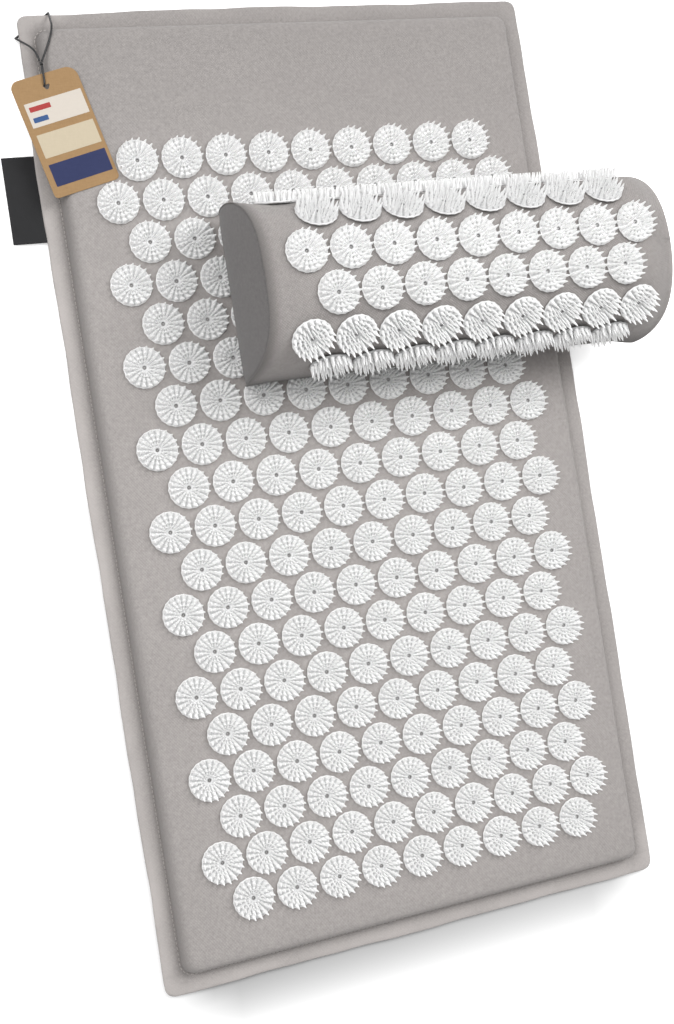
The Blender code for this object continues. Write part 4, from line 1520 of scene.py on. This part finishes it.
def add_floor():
    """A wide pale floor, white to the camera but for the shadows close to the mat."""
    nodes = Look("floor_white", {})
    nodes.tree.nodes.remove(nodes.shader)
    x, y = nodes.axes(nodes.place())[:2]
    below = nodes.remap(y, -mat_half_y - foot_shadow_reach, -mat_half_y)
    aside = nodes.math("ABSOLUTE", x)
    narrow, wide = [nodes.remap(aside, mat_half_x + outer, mat_half_x + inner)
                    for outer, inner in foot_shadow_sides]
    spread = nodes.remap(y, -mat_half_y, -mat_half_y - foot_shadow_spread)
    beside = nodes.math("MULTIPLY_ADD", nodes.math("SUBTRACT", wide, narrow), spread, narrow)
    band = nodes.math("MULTIPLY", nodes.math("MULTIPLY", below, beside),
                      nodes.math("LESS_THAN", y, 0.0))
    dark = nodes.remap(x, -mat_half_x, mat_half_x, *foot_shadow_tones)
    tone = nodes.math("MULTIPLY_ADD", band, nodes.math("SUBTRACT", dark, 1.0), 1.0)
    over = [nodes.math("SUBTRACT", nodes.math("ABSOLUTE", axis), half)
            for axis, half in ((x, mat_half_x), (y, mat_half_y))]
    away = nodes.remap(nodes.math("MAXIMUM", *over), *lift_reach, floor_lift_near, floor_lift_far)
    away = nodes.math("MULTIPLY", away, nodes.math(
        "POWER", nodes.math("SUBTRACT", 1.0, band), lift_power))
    seen = nodes.add("ShaderNodeLightPath").outputs["Is Camera Ray"]
    matt = nodes.add("ShaderNodeBsdfDiffuse", {"Color": nodes.mix(tone, (0, 0, 0), floor_colour)})
    glow = nodes.add("ShaderNodeEmission", {"Strength": nodes.math("MULTIPLY", away, seen)})
    both = nodes.add("ShaderNodeAddShader", {0: matt.outputs[0], 1: glow.outputs[0]})
    nodes.feed(nodes.tree.nodes["Material Output"].inputs["Surface"], both.outputs[0])
    mesh = bpy.data.meshes.new("floor")
    mesh.from_pydata([(side_x * floor_half, side_y * floor_half, floor_level)
                      for side_x, side_y in ((-1, -1), (1, -1), (1, 1), (-1, 1))],
                     [], [(0, 1, 2, 3)])
    mesh.materials.append(nodes.material)
    add_object("floor", mesh)


def add_world():
    """White to the camera and to reflections, and an even soft light to everything else."""
    world = bpy.data.worlds.new("studio")
    world.use_nodes = True
    bpy.context.scene.world = world
    world.node_tree.nodes.clear()
    nodes = Nodes(world.node_tree)
    path = nodes.add("ShaderNodeLightPath").outputs
    seen = nodes.math("MAXIMUM", path["Is Camera Ray"], path["Is Glossy Ray"])
    seen = nodes.math("MAXIMUM", seen, path["Is Transmission Ray"])
    fill, white = [nodes.add("ShaderNodeBackground", {"Color": (1, 1, 1, 1),
                                                      "Strength": strength}).outputs[0]
                   for strength in (world_fill, 1.0)]
    mixed = nodes.add("ShaderNodeMixShader", {0: seen, 1: fill, 2: white})
    nodes.add("ShaderNodeOutputWorld", {"Surface": mixed.outputs[0]})


# Everything put together

add_camera()
add_cord_pieces(thread_material("waxed_cord", cord_colour, 0.0009, 0.42))

mat_material = cloth_material("mat_twill", cover_colour, 0.9, head_shaded=True)
pillow_material = cloth_material("pillow_twill", cover_colour, 1.9, pillow_painted_shade_share)
end_material = cloth_material("end_twill", pillow_end_shaded_colour, 0.6)
foam = foam_material()
template_points, template_faces, template_painted_light = disc_template()

disc_centres = [place.translation[:2] for row in mat_disc_places() for place in row]
mat_pieces = [add_mat_cover(mat_material, disc_centres), add_mat_base(mat_material)]
for piece in mat_pieces:
    thicken(piece, cloth_thickness)
add_mat_stitches(thread_material("sewing_thread", thread_colour, 0.0006, 0.6))
mat_pieces.append(add_mat_foam(foam))

pillow_pieces = [
    add_pillow_top(pillow_material),
    add_pillow_base(pillow_material),
    add_pillow_end("pillow_left_cloth", -1, "pillow_end_left", end_material),
    add_pillow_end("pillow_right_cloth", 1, "pillow_end_right", end_material),
]
for piece in pillow_pieces:
    thicken(piece, cloth_thickness)
pillow_pieces.append(add_pillow_foam(foam))

add_discs(plastic_material())
add_side_label(ribbon_material("label_ribbon", label_colour))
add_tag(paper_material("kraft_card", kraft_colour, 0.07), sticker_list())
add_zips(ribbon_material("zip_ribbon", zip_tape_colour), teeth_material(), metal_material())

add_floor()
add_world()
add_light("key", key_place, key_size, key_power)
add_light("side", side_place, side_size, side_power)

bpy.context.scene.view_settings.view_transform = "Standard"
